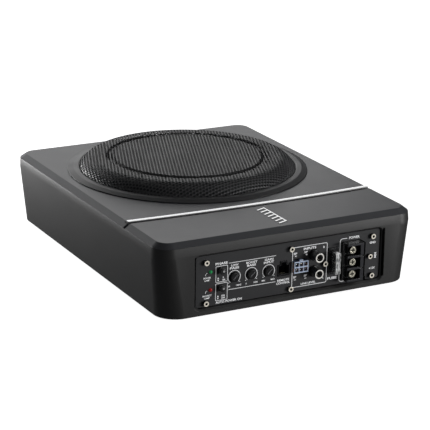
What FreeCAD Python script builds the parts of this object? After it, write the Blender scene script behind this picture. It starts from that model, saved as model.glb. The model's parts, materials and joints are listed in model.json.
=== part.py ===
"""Powered car subwoofer: a shallow enclosure with a woofer under a domed grille and an amplifier panel.

Millimetres. +Z is up, the amplifier panel faces -Y, and the origin is the middle of the resting face.
"""

import FreeCAD, Part
import math
import os

import Sketcher

# Sketch planes. Heights above FRONT are measured towards -Y, out of the amplifier panel.
TOP = "XY_Plane"
FRONT = "XZ_Plane"
START_POINT, END_POINT, CENTRE_POINT = 1, 2, 3
ORIGIN = (-1, 1)
DIAGONAL = math.sqrt(0.5)

SIZES = {
    "Enclosure": {
        "base_half_width": 120.3,
        "base_front": 157.4,
        "base_back": 154.7,
        "base_corner": 19.7,
        "shoulder_height": 54.0,
        "shoulder_half_width": 125.0,
        "shoulder_front": 156.6,
        "shoulder_back": 155.6,
        "shoulder_corner": 16.0,
        "seam_height": 61.2,
        "seam_half_width": 124.5,
        "seam_length_half": 155.2,
        "seam_corner": 15.0,
        "top_height": 65.3,
        "top_half_width": 119.2,
        "top_half_length": 149.6,
        "top_corner": 10.5,
        "floor_thickness": 3.0,
        "cavity_base_half_width": 116.6,
        "cavity_top_half_width": 119.6,
        "cavity_front": 149.5,
        "cavity_back": 150.2,
        "cavity_corner": 12.0,
        "divider_front": 79.0,
        "divider_back": 76.0,
        "divider_height": 58.0,
        "cover_lip_depth": 3.0,
        "cover_lip_thickness": 2.0,
        "cover_lip_gap": 0.6,
        "gasket_width": 1.8,
        "gasket_height": 1.3,
        "gasket_inset": 1.5,
        "gasket_corner": 12.0,
    },
    "Cover screws": {
        "cover_screw_x": 108.0,
        "cover_screw_front": 138.0,
        "cover_screw_middle": 62.0,
        "cover_screw_back": 138.0,
        "cover_boss_radius": 6.4,
        "cover_counterbore_radius": 3.9,
        "cover_counterbore_depth": 44.0,
        "cover_screw_radius": 1.75,
        "cover_screw_head_radius": 3.3,
        "cover_screw_head_height": 2.2,
        "cover_screw_end": 64.0,
        "thread_gap": 0.05,
    },
    "Bracket holes": {
        "bracket_half_x": 95.0,
        "bracket_half_y": 120.0,
        "bracket_hole_radius": 2.1,
        "bracket_hole_depth": 9.0,
        "bracket_pad_radius": 6.5,
        "bracket_pad_height": 11.0,
    },
    "Trim strip and badge": {
        "strip_middle": 88.1,
        "strip_bow": 3.6,
        "strip_width": 4.6,
        "strip_depth": 1.2,
        "strip_proud": 0.8,
        "strip_half_length": 119.6,
        "groove_width": 3.0,
        "groove_rib_front": 98.0,
        "groove_rib_back": 75.0,
        "badge_middle": 121.5,
        "badge_pitch": 6.4,
        "badge_bar_width": 1.9,
        "badge_slant": 1.8,
        "badge_half_width": 4.6,
        "badge_spine_width": 1.3,
        "badge_proud": 0.4,
    },
    "Woofer": {
        "woofer_y": 37.6,
        "opening_radius": 95.5,
        "rebate_radius": 107.0,
        "rebate_depth": 2.5,
        "ring_boss_radius": 110.5,
        "flange_radius": 106.5,
        "flange_thickness": 1.5,
        "flange_inner_radius": 88.0,
        "basket_screw_circle": 102.6,
        "basket_screw_radius": 1.9,
        "basket_screw_clearance": 0.3,
        "basket_screw_head_radius": 2.9,
        "basket_screw_head_height": 1.0,
        "basket_plate_bottom": 37.0,
        "basket_metal": 1.4,
        "basket_plate_inner_radius": 23.0,
        "basket_plate_radius": 47.0,
        "ledge_height": 43.0,
        "ledge_radius": 53.0,
        "window_inner_radius": 60.0,
        "window_outer_radius": 84.0,
        "roll_inner_radius": 76.0,
        "roll_thickness": 1.0,
        "surround_inner_radius": 72.0,
        "surround_outer_radius": 94.0,
        "cone_rim_thickness": 1.0,
        "former_radius": 19.3,
        "former_thickness": 0.25,
        "former_bottom": 24.0,
        "former_top": 50.5,
        "winding_thickness": 1.0,
        "winding_bottom": 27.0,
        "winding_top": 41.0,
        "cap_radius": 27.0,
        "cap_crown_radius": 2.0,
        "cap_base": 52.8,
        "cap_top": 60.4,
        "cap_thickness": 0.8,
        "pole_radius": 18.3,
        "pole_vent_radius": 6.0,
        "yoke_radius": 52.0,
        "yoke_bottom": 9.0,
        "yoke_top": 17.0,
        "magnet_radius": 58.0,
        "magnet_inner_radius": 28.0,
        "plate_bottom": 31.0,
        "plate_radius": 50.0,
        "plate_inner_radius": 20.9,
        "spider_height": 43.0,
        "spider_thickness": 0.6,
        "spider_wave": 1.2,
        "spider_outer_radius": 52.0,
    },
    "Grille": {
        "ring_radius": 111.4,
        "ring_edge_height": 0.8,
        "ring_crease_radius": 105.9,
        "ring_crease_height": 2.4,
        "ring_inner_radius": 100.6,
        "ring_crown_height": 2.8,
        "ring_lip_height": 1.9,
        "ring_wall": 2.0,
        "mesh_flange_radius": 102.5,
        "mesh_thickness": 0.8,
        "mesh_foot_radius": 100.2,
        "mesh_flank_radius": 93.6,
        "mesh_flank_height": 9.4,
        "mesh_crown_radius": 84.0,
        "mesh_groove_outer": 75.0,
        "mesh_groove_inner": 69.0,
        "mesh_groove_depth": 1.6,
        "mesh_top_height": 12.2,
    },
    "Panel": {
        "panel_face": 154.5,
        "panel_thickness": 2.0,
        "window_half_width": 90.3,
        "window_bottom": 5.6,
        "window_top": 52.0,
        "window_corner": 3.3,
        "window_flare": 3.0,
        "window_flare_start": 155.4,
        "panel_gap": 0.6,
        "ledge_left": 79.0,
        "ledge_right": 75.5,
        "ledge_bottom": 13.5,
        "ledge_top": 42.0,
        "panel_screw_middle": 0.6,
        "panel_screw_spread": 81.3,
        "panel_screw_low": 9.6,
        "panel_screw_high": 45.5,
        "panel_screw_radius": 1.45,
        "panel_screw_head_radius": 2.35,
        "panel_screw_head_height": 2.6,
        "panel_screw_length": 9.0,
        "panel_boss_radius": 4.4,
        "panel_boss_back": 143.5,
        "input_screw_x": 34.2,
        "bracket_screw_x": 79.5,
        "bracket_screw_radius": 1.2,
        "bracket_screw_head_radius": 2.2,
        "middle_screw_height": 27.4,
        "board_face": 142.0,
        "board_thickness": 1.6,
        "control_board_left": 79.0,
        "control_board_right": 78.0,
        "control_board_bottom": 14.6,
        "control_board_top": 52.0,
        "fit_gap": 0.2,
    },
    "Lamps": {
        "lamp_x": -76.0,
        "power_lamp_height": 36.5,
        "protect_lamp_height": 20.6,
        "lamp_radius": 1.5,
        "lamp_flange_radius": 1.9,
        "lamp_proud": 1.6,
        "lamp_depth": 7.0,
    },
    "Buttons": {
        "button_x": -66.5,
        "phase_height": 36.5,
        "auto_height": 21.2,
        "button_radius": 2.8,
        "button_proud": 4.5,
        "button_depth": 8.0,
        "button_travel": 2.0,
        "switch_half_width": 4.2,
        "switch_half_height": 4.2,
    },
    "Rotary controls": {
        "low_pass_x": -53.5,
        "bass_x": -37.3,
        "gain_x": -20.6,
        "rotary_height": 28.7,
        "shaft_radius": 4.2,
        "shaft_gap": 0.1,
        "shaft_proud": 2.5,
        "shaft_depth": 8.0,
        "slot_width": 1.2,
        "slot_depth": 1.2,
        "slot_angle": 45.0,
        "rotary_half_width": 4.9,
        "rotary_half_height": 5.6,
    },
    "Remote jack": {
        "jack_x": -6.0,
        "jack_height": 29.0,
        "jack_half_width": 6.1,
        "jack_bottom": 6.7,
        "jack_top": 3.6,
        "jack_tab_half_width": 3.5,
        "jack_tab_top": 6.7,
        "jack_proud": 0.5,
        "jack_mouth_half_width": 4.95,
        "jack_mouth_bottom": 5.0,
        "jack_mouth_top": 2.6,
        "jack_notch_half_width": 2.4,
        "jack_notch_top": 5.2,
        "jack_mouth_depth": 9.5,
        "jack_contact_pitch": 1.02,
        "jack_contact_radius": 0.22,
        "jack_contact_length": 7.0,
    },
    "High-level header": {
        "header_x": 9.3,
        "header_height": 29.0,
        "header_half_width": 6.9,
        "header_half_height": 5.2,
        "header_proud": 4.0,
        "header_pitch_x": 4.3,
        "header_pitch_z": 4.7,
        "header_cell": 3.6,
        "header_cell_depth": 9.0,
        "header_pin": 1.0,
        "header_latch_half_width": 1.8,
        "header_latch_height": 1.5,
        "header_latch_length": 3.4,
    },
    "Line inputs": {
        "line_x": 23.7,
        "line_high": 36.8,
        "line_low": 22.1,
        "line_radius": 4.15,
        "line_shank_radius": 3.7,
        "line_bore_radius": 3.0,
        "line_proud": 10.0,
        "line_collar_radius": 4.9,
        "line_collar_proud": 1.6,
        "line_insert_recess": 0.9,
        "line_contact_radius": 1.6,
        "line_contact_bore": 1.2,
        "line_contact_recess": 2.2,
        "line_base_left": 18.6,
        "line_base_right": 36.9,
        "line_base_bottom": 15.4,
        "line_base_top": 41.2,
    },
    "Fuse": {
        "fuse_x": 42.3,
        "fuse_height": 28.6,
        "holder_half_width": 4.6,
        "holder_half_height": 11.9,
        "holder_proud": 1.2,
        "fuse_half_width": 2.55,
        "fuse_half_height": 9.5,
        "fuse_proud": 10.0,
        "fuse_length": 12.3,
        "fuse_wall": 1.1,
        "fuse_room": 0.25,
        "blade_half_thickness": 0.33,
        "blade_offset": 5.4,
        "blade_width": 5.2,
        "blade_length": 7.0,
        "link_width": 1.6,
    },
    "Terminal block": {
        "block_left": 51.3,
        "block_right": 70.0,
        "block_bottom": 10.0,
        "block_top": 44.4,
        "block_proud": 10.0,
        "block_step_left": 67.8,
        "block_step_bottom": 13.5,
        "block_step_depth": 1.2,
        "block_tail_inset": 1.8,
        "block_tail_bottom": 14.4,
        "block_tail_top": 40.6,
        "cell_pitch": 10.8,
        "cell_middle": 27.4,
        "cell_half_height": 4.4,
        "cell_right": 64.3,
        "cell_depth": 6.5,
        "terminal_x": 57.8,
        "terminal_plate_half": 3.9,
        "terminal_plate_thickness": 1.0,
        "clamp_half": 3.8,
        "clamp_thickness": 1.1,
        "clamp_gap": 0.1,
        "terminal_head_radius": 3.1,
        "terminal_head_height": 2.4,
        "terminal_screw_radius": 1.9,
        "terminal_screw_gap": 0.12,
        "terminal_screw_length": 12.0,
        "wall_notch_half_width": 0.7,
        "wall_notch_depth": 1.6,
    },
    "Amplifier": {
        "amp_board_bottom": 10.0,
        "amp_board_half_width": 87.0,
        "amp_board_front": 138.0,
        "amp_board_back": 84.5,
        "amp_post_x": 80.0,
        "amp_post_front": 132.0,
        "amp_post_back": 92.0,
        "amp_post_radius": 3.6,
        "amp_screw_radius": 1.45,
        "spreader_half_length": 78.0,
        "spreader_bottom": 13.0,
        "spreader_top": 48.0,
        "spreader_thickness": 4.0,
        "transistor_pitch": 22.0,
        "transistor_half_width": 5.2,
        "transistor_bottom": 20.0,
        "transistor_height": 15.5,
        "transistor_thickness": 4.6,
        "clamp_bar_thickness": 1.5,
        "clamp_bar_bottom": 25.0,
        "clamp_bar_height": 6.0,
        "capacitor_radius": 8.0,
        "capacitor_height": 31.0,
        "choke_radius": 19.0,
        "choke_bore": 8.5,
        "choke_height": 17.0,
        "transformer_half": 17.0,
        "transformer_height": 27.0,
    },
}


class Size:
    """A number that remembers the spreadsheet expression that it comes from."""

    def __init__(self, number, text):
        self.number = number
        self.text = text

    def __add__(self, other):
        other = as_size(other)
        return Size(self.number + other.number, f"({self.text} + {other.text})")

    def __sub__(self, other):
        other = as_size(other)
        return Size(self.number - other.number, f"({self.text} - {other.text})")

    def __mul__(self, factor):
        factor = as_size(factor)
        return Size(self.number * factor.number, f"({self.text} * {factor.text})")

    def __truediv__(self, other):
        other = as_size(other)
        return Size(self.number / other.number, f"({self.text} / {other.text})")

    def __neg__(self):
        return self * -1

    def __rsub__(self, other):
        return as_size(other) - self

    __radd__ = __add__
    __rmul__ = __mul__


class Sizes:
    """Every driving dimension by name."""


def as_size(value):
    return value if isinstance(value, Size) else Size(float(value), f"({value:.9g})")


def write_sizes(doc):
    """Fills the spreadsheet and returns its cells by name."""
    sheet = doc.addObject("Spreadsheet::Sheet", "Sizes")
    found = Sizes()
    row = 1
    for heading, cells in SIZES.items():
        sheet.set(f"A{row}", heading)
        row += 1
        for name, value in cells.items():
            sheet.set(f"A{row}", name.replace("_", " "))
            sheet.set(f"B{row}", str(value))
            sheet.setAlias(f"B{row}", name)
            setattr(found, name, Size(value, f"Sizes.{name}"))
            row += 1
    doc.recompute()
    return found


doc = FreeCAD.newDocument("CarSubwoofer")
s = write_sizes(doc)


# Sketches


def bind(target, property_name, value):
    """Ties a property or constraint to the spreadsheet."""
    target.setExpression(property_name, as_size(value).text)


def spot(x, y):
    return FreeCAD.Vector(as_size(x).number, as_size(y).number, 0)


def hold_point(sketch, geometry, point, x, y):
    """Holds one point of a sketch at x, y from the sketch's origin."""
    for kind, value in (("DistanceX", x), ("DistanceY", y)):
        constraint = Sketcher.Constraint(kind, *ORIGIN, geometry, point, as_size(value).number)
        bind(sketch, f"Constraints[{sketch.addConstraint(constraint)}]", value)


def circle(x, y, radius):
    def draw(sketch):
        size = as_size(radius)
        edge = sketch.addGeometry(Part.Circle(spot(x, y), FreeCAD.Vector(0, 0, 1), size.number), False)
        hold_point(sketch, edge, CENTRE_POINT, x, y)
        constraint = sketch.addConstraint(Sketcher.Constraint("Radius", edge, size.number))
        bind(sketch, f"Constraints[{constraint}]", size)

    return draw


def outline(*corners):
    """A closed outline. A corner is (x, y), or (x, y, via_x, via_y) where an arc through via leads to it."""

    def draw(sketch):
        ends = []
        for i, corner in enumerate(corners):
            start, end = spot(*corners[i - 1][:2]), spot(*corner[:2])
            if len(corner) == 2:
                edge = sketch.addGeometry(Part.LineSegment(start, end), False)
                ends.append((edge, START_POINT, END_POINT))
                continue
            edge = sketch.addGeometry(Part.Arc(start, spot(*corner[2:]), end), False)
            forward = (sketch.getPoint(edge, START_POINT) - start).Length < 1e-6
            ends.append((edge, START_POINT, END_POINT) if forward else (edge, END_POINT, START_POINT))
            via = sketch.addGeometry(Part.Point(spot(*corner[2:])), True)
            hold_point(sketch, via, START_POINT, *corner[2:])
            sketch.addConstraint(Sketcher.Constraint("PointOnObject", via, START_POINT, edge))
        for i, (edge, start, end) in enumerate(ends):
            previous, _, previous_end = ends[i - 1]
            sketch.addConstraint(Sketcher.Constraint("Coincident", previous, previous_end, edge, start))
            hold_point(sketch, edge, end, *corners[i][:2])

    return draw


def rectangle(left, bottom, right, top):
    return outline((left, bottom), (right, bottom), (right, top), (left, top))


def square(x, y, half):
    return rectangle(x - half, y - half, x + half, y + half)


def rounded(left, bottom, right, top, radius):
    """A rectangle with round corners."""
    near = radius * (1 - DIAGONAL)
    return outline(
        (left + radius, bottom, left + near, bottom + near),
        (right - radius, bottom),
        (right, bottom + radius, right - near, bottom + near),
        (right, top - radius),
        (right - radius, top, right - near, top - near),
        (left + radius, top),
        (left, top - radius, left + near, top - near),
        (left, bottom + radius),
    )


def hexagon(x, y, radius):
    turns = [math.radians(60 * i) for i in range(6)]
    return outline(*[(x + radius * math.cos(a), y + radius * math.sin(a)) for a in turns])


def cross(x, y, reach, half_width):
    """The recess of a cross-head screw."""
    r, w = reach, half_width
    steps = [(r, -w), (r, w), (w, w), (w, r), (-w, r), (-w, w), (-r, w), (-r, -w), (-w, -w), (-w, -r), (w, -r), (w, -w)]
    return outline(*[(x + dx, y + dy) for dx, dy in steps])


def sketch_on(body, plane, height, shapes):
    found = body.newObject("Sketcher::SketchObject", f"{body.Label}_sketch")
    support = next(f for f in body.Origin.OriginFeatures if f.Role == plane)
    found.AttachmentSupport = [(support, "")]
    found.MapMode = "FlatFace"
    bind(found, "AttachmentOffset.Base.z", height)
    for draw in shapes:
        draw(found)
    return found


# Features


def new_body(label, x=0, y=0, z=0):
    body = doc.addObject("PartDesign::Body", label)
    body.Label = label
    body.AllowCompound = True
    for axis, value in (("x", x), ("y", y), ("z", z)):
        bind(body, f"Placement.Base.{axis}", value)
    return body


def add_feature(body, kind, profile):
    feature = body.newObject(f"PartDesign::{kind}", f"{body.Label}_{kind.lower()}")
    feature.Profile = profile
    return feature


def volume_now(body):
    doc.recompute()
    return 0 if body.Shape.isNull() else body.Shape.Volume


def prism(body, plane, start, end, *shapes):
    """Adds material between two heights above one of the body's planes."""
    feature = add_feature(body, "Pad", sketch_on(body, plane, start, shapes))
    bind(feature, "Length", end - start)


def cut(body, plane, start, end, *shapes):
    """Removes material between two heights above one of the body's planes."""
    before = volume_now(body)
    feature = add_feature(body, "Pocket", sketch_on(body, plane, end, shapes))
    bind(feature, "Length", end - start)
    if volume_now(body) >= before:
        raise RuntimeError(f"a pocket in {body.Label} removes nothing")
    return feature


def turned(body, *shapes):
    """Turns outlines of (radius, height) about the body's Z axis."""
    feature = add_feature(body, "Revolution", sketch_on(body, FRONT, 0, shapes))
    feature.ReferenceAxis = (feature.Profile[0], ["V_Axis"])


def turned_forward(body, *shapes):
    """Turns outlines of (radius, place along Y) about the body's Y axis."""
    feature = add_feature(body, "Revolution", sketch_on(body, TOP, 0, shapes))
    feature.ReferenceAxis = (feature.Profile[0], ["V_Axis"])


def loft(body, kind, plane, *sections):
    """A straight-sided loft through (height, shape) sections."""
    profiles = [sketch_on(body, plane, height, [shape]) for height, shape in sections]
    feature = add_feature(body, kind, profiles[0])
    feature.Sections = profiles[1:]
    feature.Ruled = True


def repeat_round(body, feature, count):
    """Repeats a feature evenly about the body's Z axis."""
    pattern = body.newObject("PartDesign::PolarPattern", f"{body.Label}_pattern")
    pattern.Originals = [feature]
    pattern.Axis = (feature.Profile[0], ["N_Axis"])
    pattern.Angle = 360
    pattern.Occurrences = count
    body.Tip = pattern
    doc.recompute()


def circle_of(count, radius, first=0.0):
    """Places evenly spaced on a circle, as (x, y)."""
    turns = [first + 2 * math.pi * i / count for i in range(count)]
    return [(radius * math.cos(a), radius * math.sin(a)) for a in turns]


# Levels and places that several sub-parts share

lip_bottom = s.seam_height - s.cover_lip_depth
rebate_floor = s.top_height - s.rebate_depth
flange_bottom = s.top_height - s.flange_thickness
panel_back = s.panel_face - s.panel_thickness
amp_board_top = s.amp_board_bottom + s.board_thickness
cell_floor = s.panel_face + s.block_proud - s.cell_depth
clamp_bottom = cell_floor + s.terminal_plate_thickness + s.clamp_gap
clamp_top = clamp_bottom + s.clamp_thickness
fuse_tip = s.panel_face + s.fuse_proud
fuse_foot = fuse_tip - s.fuse_length
line_tip = s.panel_face + s.line_proud
header_front = s.panel_face + s.header_proud
jack_front = s.panel_face + s.jack_proud
spreader_front = s.divider_front + s.spreader_thickness
transistor_front = spreader_front + s.transistor_thickness

cover_screw_places = [
    (side * s.cover_screw_x, y)
    for side in (-1, 1)
    for y in (-s.cover_screw_front, -s.cover_screw_middle, s.cover_screw_back)
]
bracket_places = [(i * s.bracket_half_x, j * s.bracket_half_y) for i in (-1, 1) for j in (-1, 1)]
panel_screw_places = [
    (s.panel_screw_middle + side * s.panel_screw_spread, z)
    for side in (-1, 0, 1)
    for z in (s.panel_screw_low, s.panel_screw_high)
]
amp_post_places = [
    (side * s.amp_post_x, -y) for side in (-1, 1) for y in (s.amp_post_front, s.amp_post_back)
]
basket_screw_places = circle_of(8, s.basket_screw_circle, math.pi / 8)
line_places = [(s.line_x, s.line_high), (s.line_x, s.line_low)]
cell_heights = [s.cell_middle + i * s.cell_pitch for i in (1, 0, -1)]
header_places = [
    (s.header_x + i * s.header_pitch_x, s.header_height + (j - 0.5) * s.header_pitch_z)
    for j in (0, 1)
    for i in (-1, 0, 1)
]
rotary_controls = {"low_pass": s.low_pass_x, "bass": s.bass_x, "gain": s.gain_x}
buttons = {"phase": s.phase_height, "auto_on": s.auto_height}
lamps = {"power": s.power_lamp_height, "protect": s.protect_lamp_height}


# Enclosure


def body_section(half_width, front, back, corner, inset=0):
    """A horizontal section of the enclosure."""
    return rounded(inset - half_width, inset - front, half_width - inset, back - inset, corner)


def seam_section(inset=0, corner=s.seam_corner):
    return body_section(s.seam_half_width, s.seam_length_half, s.seam_length_half, corner, inset)


def cavity_section(inset=0):
    """The mouth of the housing's hollow."""
    return body_section(
        s.cavity_top_half_width, s.cavity_front, s.cavity_back, s.cavity_corner - inset, inset
    )


def window_section(grow=0):
    """The recess for the control panel, seen from the front."""
    return rounded(
        -s.window_half_width - grow,
        s.window_bottom - grow,
        s.window_half_width + grow,
        s.window_top + grow,
        s.window_corner + grow,
    )


def make_housing():
    body = new_body("housing")
    base = body_section(s.base_half_width, s.base_front, s.base_back, s.base_corner)
    shoulder = body_section(s.shoulder_half_width, s.shoulder_front, s.shoulder_back, s.shoulder_corner)
    loft(body, "AdditiveLoft", TOP, (0, base), (s.shoulder_height, shoulder))
    loft(body, "AdditiveLoft", TOP, (s.shoulder_height, shoulder), (s.seam_height, seam_section()))
    cavity_base = body_section(
        s.cavity_base_half_width, s.cavity_front, s.cavity_back, s.cavity_corner
    )
    loft(body, "SubtractiveLoft", TOP, (s.floor_thickness, cavity_base), (s.seam_height, cavity_section()))
    cut(
        body, TOP, s.seam_height - s.gasket_height, s.seam_height,
        seam_section(s.gasket_inset, s.gasket_corner),
        seam_section(s.gasket_inset + s.gasket_width, s.gasket_corner - s.gasket_width),
    )
    cut(body, FRONT, panel_back, s.base_front + 1, window_section())
    loft(
        body, "SubtractiveLoft", FRONT,
        (s.window_flare_start, window_section()),
        (s.window_flare_start + s.window_flare, window_section(s.window_flare)),
    )
    ledge_opening = rounded(
        -s.ledge_left, s.ledge_bottom, s.ledge_right, s.ledge_top, s.window_corner
    )
    cut(body, FRONT, s.cavity_front - 1, s.base_front, ledge_opening)
    add_housing_posts(body)
    return body


def add_housing_posts(body):
    """The divider, the bosses for the cover, panel and amplifier screws, and the bracket holes."""
    low = s.floor_thickness / 2
    prism(
        body, TOP, low, s.divider_height,
        rectangle(
            -s.cavity_base_half_width - 1, -s.divider_front, s.cavity_base_half_width + 1, -s.divider_back
        ),
    )
    prism(body, TOP, low, lip_bottom, *[circle(x, y, s.cover_boss_radius) for x, y in cover_screw_places])
    prism(body, TOP, low, s.bracket_pad_height, *[circle(x, y, s.bracket_pad_radius) for x, y in bracket_places])
    prism(body, TOP, low, s.amp_board_bottom, *[circle(x, y, s.amp_post_radius) for x, y in amp_post_places])
    prism(
        body, FRONT, s.panel_boss_back, s.cavity_front + 1,
        *[circle(x, z, s.panel_boss_radius) for x, z in panel_screw_places],
    )
    screw_hole = s.cover_screw_radius + s.fit_gap
    cut(body, TOP, 0, lip_bottom, *[circle(x, y, screw_hole) for x, y in cover_screw_places])
    cut(
        body, TOP, 0, s.cover_counterbore_depth,
        *[circle(x, y, s.cover_counterbore_radius) for x, y in cover_screw_places],
    )
    cut(body, TOP, 0, s.bracket_hole_depth, *[circle(x, y, s.bracket_hole_radius) for x, y in bracket_places])
    post_hole = s.amp_screw_radius + s.thread_gap
    cut(body, TOP, s.floor_thickness, s.amp_board_bottom, *[circle(x, y, post_hole) for x, y in amp_post_places])
    panel_hole = s.panel_screw_radius + s.thread_gap
    cut(
        body, FRONT, s.panel_boss_back, panel_back,
        *[circle(x, z, panel_hole) for x, z in panel_screw_places],
    )
    bracket_screw = circle(s.bracket_screw_x, s.middle_screw_height, s.bracket_screw_radius + s.thread_gap)
    cut(body, FRONT, s.cavity_front - 1, panel_back, bracket_screw)


def strip_band(front, back, half_length):
    """A band across the cover that bows towards the panel. Front and back are its middle's places."""
    end = s.strip_bow * (half_length / s.top_half_width) * (half_length / s.top_half_width)
    return outline(
        (-half_length, end - front),
        (half_length, end - front, 0, -front),
        (half_length, end - back),
        (-half_length, end - back, 0, -back),
    )


def make_top_cover():
    body = new_body("top_cover")
    top = body_section(s.top_half_width, s.top_half_length, s.top_half_length, s.top_corner)
    loft(body, "AdditiveLoft", TOP, (s.seam_height, seam_section()), (s.top_height, top))
    lip_outside = cavity_section(s.cover_lip_gap)
    lip_inside = cavity_section(s.cover_lip_gap + s.cover_lip_thickness)
    above = s.seam_height + 0.5
    prism(body, TOP, lip_bottom, above, lip_outside, lip_inside)
    rib_reach = s.cavity_top_half_width - s.cover_lip_gap - s.cover_lip_thickness / 2
    prism(body, TOP, lip_bottom, above, rectangle(-rib_reach, -s.groove_rib_front, rib_reach, -s.groove_rib_back))
    prism(body, TOP, lip_bottom, above, circle(0, s.woofer_y, s.ring_boss_radius))
    prism(body, TOP, lip_bottom, above, *[circle(x, y, s.cover_boss_radius) for x, y in cover_screw_places])
    cut(body, TOP, lip_bottom, s.top_height, circle(0, s.woofer_y, s.opening_radius))
    cut(body, TOP, rebate_floor, s.top_height, circle(0, s.woofer_y, s.rebate_radius))
    strip_front = s.strip_middle + s.strip_width / 2
    across = s.shoulder_half_width + 1
    groove = strip_band(strip_front + s.groove_width, strip_front, across)
    cut(body, TOP, s.seam_height, s.top_height, groove)
    rebate = strip_band(strip_front + s.groove_width / 2, s.strip_middle - s.strip_width / 2, across)
    cut(body, TOP, s.top_height - s.strip_depth, s.top_height, rebate)
    screw_hole = s.cover_screw_radius + s.thread_gap
    cut(body, TOP, lip_bottom, s.cover_screw_end, *[circle(x, y, screw_hole) for x, y in cover_screw_places])
    basket_hole = s.basket_screw_radius + s.thread_gap
    cut(
        body, TOP, lip_bottom, rebate_floor,
        *[circle(x, s.woofer_y + y, basket_hole) for x, y in basket_screw_places],
    )
    return body


def make_cover_gasket():
    body = new_body("cover_gasket")
    prism(
        body, TOP, s.seam_height - s.gasket_height, s.seam_height,
        seam_section(s.gasket_inset, s.gasket_corner),
        seam_section(s.gasket_inset + s.gasket_width, s.gasket_corner - s.gasket_width),
    )
    return body


def make_cover_screws():
    body = new_body("cover_screws")
    head_bottom = s.cover_counterbore_depth - s.cover_screw_head_height
    prism(
        body, TOP, head_bottom, s.cover_counterbore_depth,
        *[circle(x, y, s.cover_screw_head_radius) for x, y in cover_screw_places],
    )
    prism(
        body, TOP, s.cover_counterbore_depth - 0.5, s.cover_screw_end - 0.4,
        *[circle(x, y, s.cover_screw_radius) for x, y in cover_screw_places],
    )
    reach = s.cover_screw_head_radius * 0.6
    cut(
        body, TOP, head_bottom, head_bottom + s.cover_screw_head_height * 0.6,
        *[cross(x, y, reach, reach * 0.25) for x, y in cover_screw_places],
    )
    return body


def make_trim_strip():
    body = new_body("trim_strip")
    gap = s.fit_gap / 2
    front = s.strip_middle + s.strip_width / 2 - gap
    back = s.strip_middle - s.strip_width / 2 + gap
    band = strip_band(front, back, s.strip_half_length)
    prism(body, TOP, s.top_height - s.strip_depth, s.top_height + s.strip_proud, band)
    return body


def make_badge():
    """Slanted bars joined along one side like a comb, which names nothing."""
    body = new_body("badge")
    reach, slant = s.badge_half_width, s.badge_slant
    bars = []
    for place in range(-3, 4):
        near = place * s.badge_pitch - s.badge_middle - s.badge_bar_width / 2
        far = near + s.badge_bar_width
        bars.append(outline((-reach, near - slant), (reach, near + slant), (reach, far + slant), (-reach, far - slant)))
    prism(body, TOP, s.top_height, s.top_height + s.badge_proud, *bars)
    end = 3 * s.badge_pitch
    spine = rectangle(
        reach - s.badge_spine_width, slant - end - s.badge_middle, reach, slant + end - s.badge_middle
    )
    prism(body, TOP, s.top_height, s.top_height + s.badge_proud, spine)
    return body


# Woofer


def woofer_body(label):
    return new_body(label, y=s.woofer_y)


def tube(body, inner, outer, bottom, top):
    prism(body, TOP, bottom, top, circle(0, 0, outer), circle(0, 0, inner))


def make_basket_gasket():
    body = woofer_body("basket_gasket")
    tube(body, s.opening_radius + s.fit_gap, s.flange_radius, rebate_floor, flange_bottom)
    hole = s.basket_screw_radius + s.basket_screw_clearance
    cut(body, TOP, rebate_floor, flange_bottom, *[circle(x, y, hole) for x, y in basket_screw_places])
    return body


def make_basket():
    body = woofer_body("basket")
    metal = s.basket_metal
    inner_foot = s.ledge_radius + 4
    turned(
        body,
        outline(
            (s.basket_plate_inner_radius, s.basket_plate_bottom),
            (s.basket_plate_radius + metal, s.basket_plate_bottom),
            (s.basket_plate_radius + metal, s.ledge_height - metal),
            (s.ledge_radius + 1, s.ledge_height - metal),
            (inner_foot + 1, s.ledge_height + 1.9),
            (s.flange_inner_radius + 2.4, flange_bottom),
            (s.flange_radius, flange_bottom),
            (s.flange_radius, s.top_height),
            (s.flange_inner_radius, s.top_height),
            (s.flange_inner_radius, flange_bottom - 0.6),
            (inner_foot, s.ledge_height + 3.4),
            (s.ledge_radius, s.ledge_height),
            (s.basket_plate_radius, s.ledge_height),
            (s.basket_plate_radius, s.basket_plate_bottom + metal),
            (s.basket_plate_inner_radius, s.basket_plate_bottom + metal),
        ),
    )
    hole = s.basket_screw_radius + s.basket_screw_clearance
    cut(body, TOP, flange_bottom, s.top_height, *[circle(x, y, hole) for x, y in basket_screw_places])
    near, far = s.window_inner_radius, s.window_outer_radius
    across, along = math.sin(math.radians(21)), math.cos(math.radians(21))
    window = outline(
        (near * along, near * across),
        (near * along, -near * across, near, 0),
        (far * along, -far * across),
        (far * along, far * across, far, 0),
    )
    repeat_round(body, cut(body, TOP, s.ledge_height, flange_bottom, window), 6)
    return body


def make_basket_screws():
    body = woofer_body("basket_screws")
    top = s.top_height + s.basket_screw_head_height
    prism(body, TOP, lip_bottom, s.top_height + 0.3, *[circle(x, y, s.basket_screw_radius) for x, y in basket_screw_places])
    prism(body, TOP, s.top_height, top, *[circle(x, y, s.basket_screw_head_radius) for x, y in basket_screw_places])
    reach = s.basket_screw_head_radius * 0.6
    cut(
        body, TOP, s.top_height + 0.4, top,
        *[cross(x, y, reach, reach * 0.25) for x, y in basket_screw_places],
    )
    return body


def make_surround():
    body = woofer_body("surround")
    low = s.top_height
    high = s.top_height + s.roll_thickness
    middle = (s.roll_inner_radius + s.flange_inner_radius) / 2
    reach = (s.flange_inner_radius - s.roll_inner_radius) / 2
    turned(
        body,
        outline(
            (s.surround_inner_radius, low),
            (s.roll_inner_radius + s.roll_thickness, low),
            (s.flange_inner_radius - s.roll_thickness, low, middle, low + reach - s.roll_thickness),
            (s.surround_outer_radius, low),
            (s.surround_outer_radius, high),
            (s.flange_inner_radius, high),
            (s.roll_inner_radius, high, middle, high + reach),
            (s.surround_inner_radius, high),
        ),
    )
    return body


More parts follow.
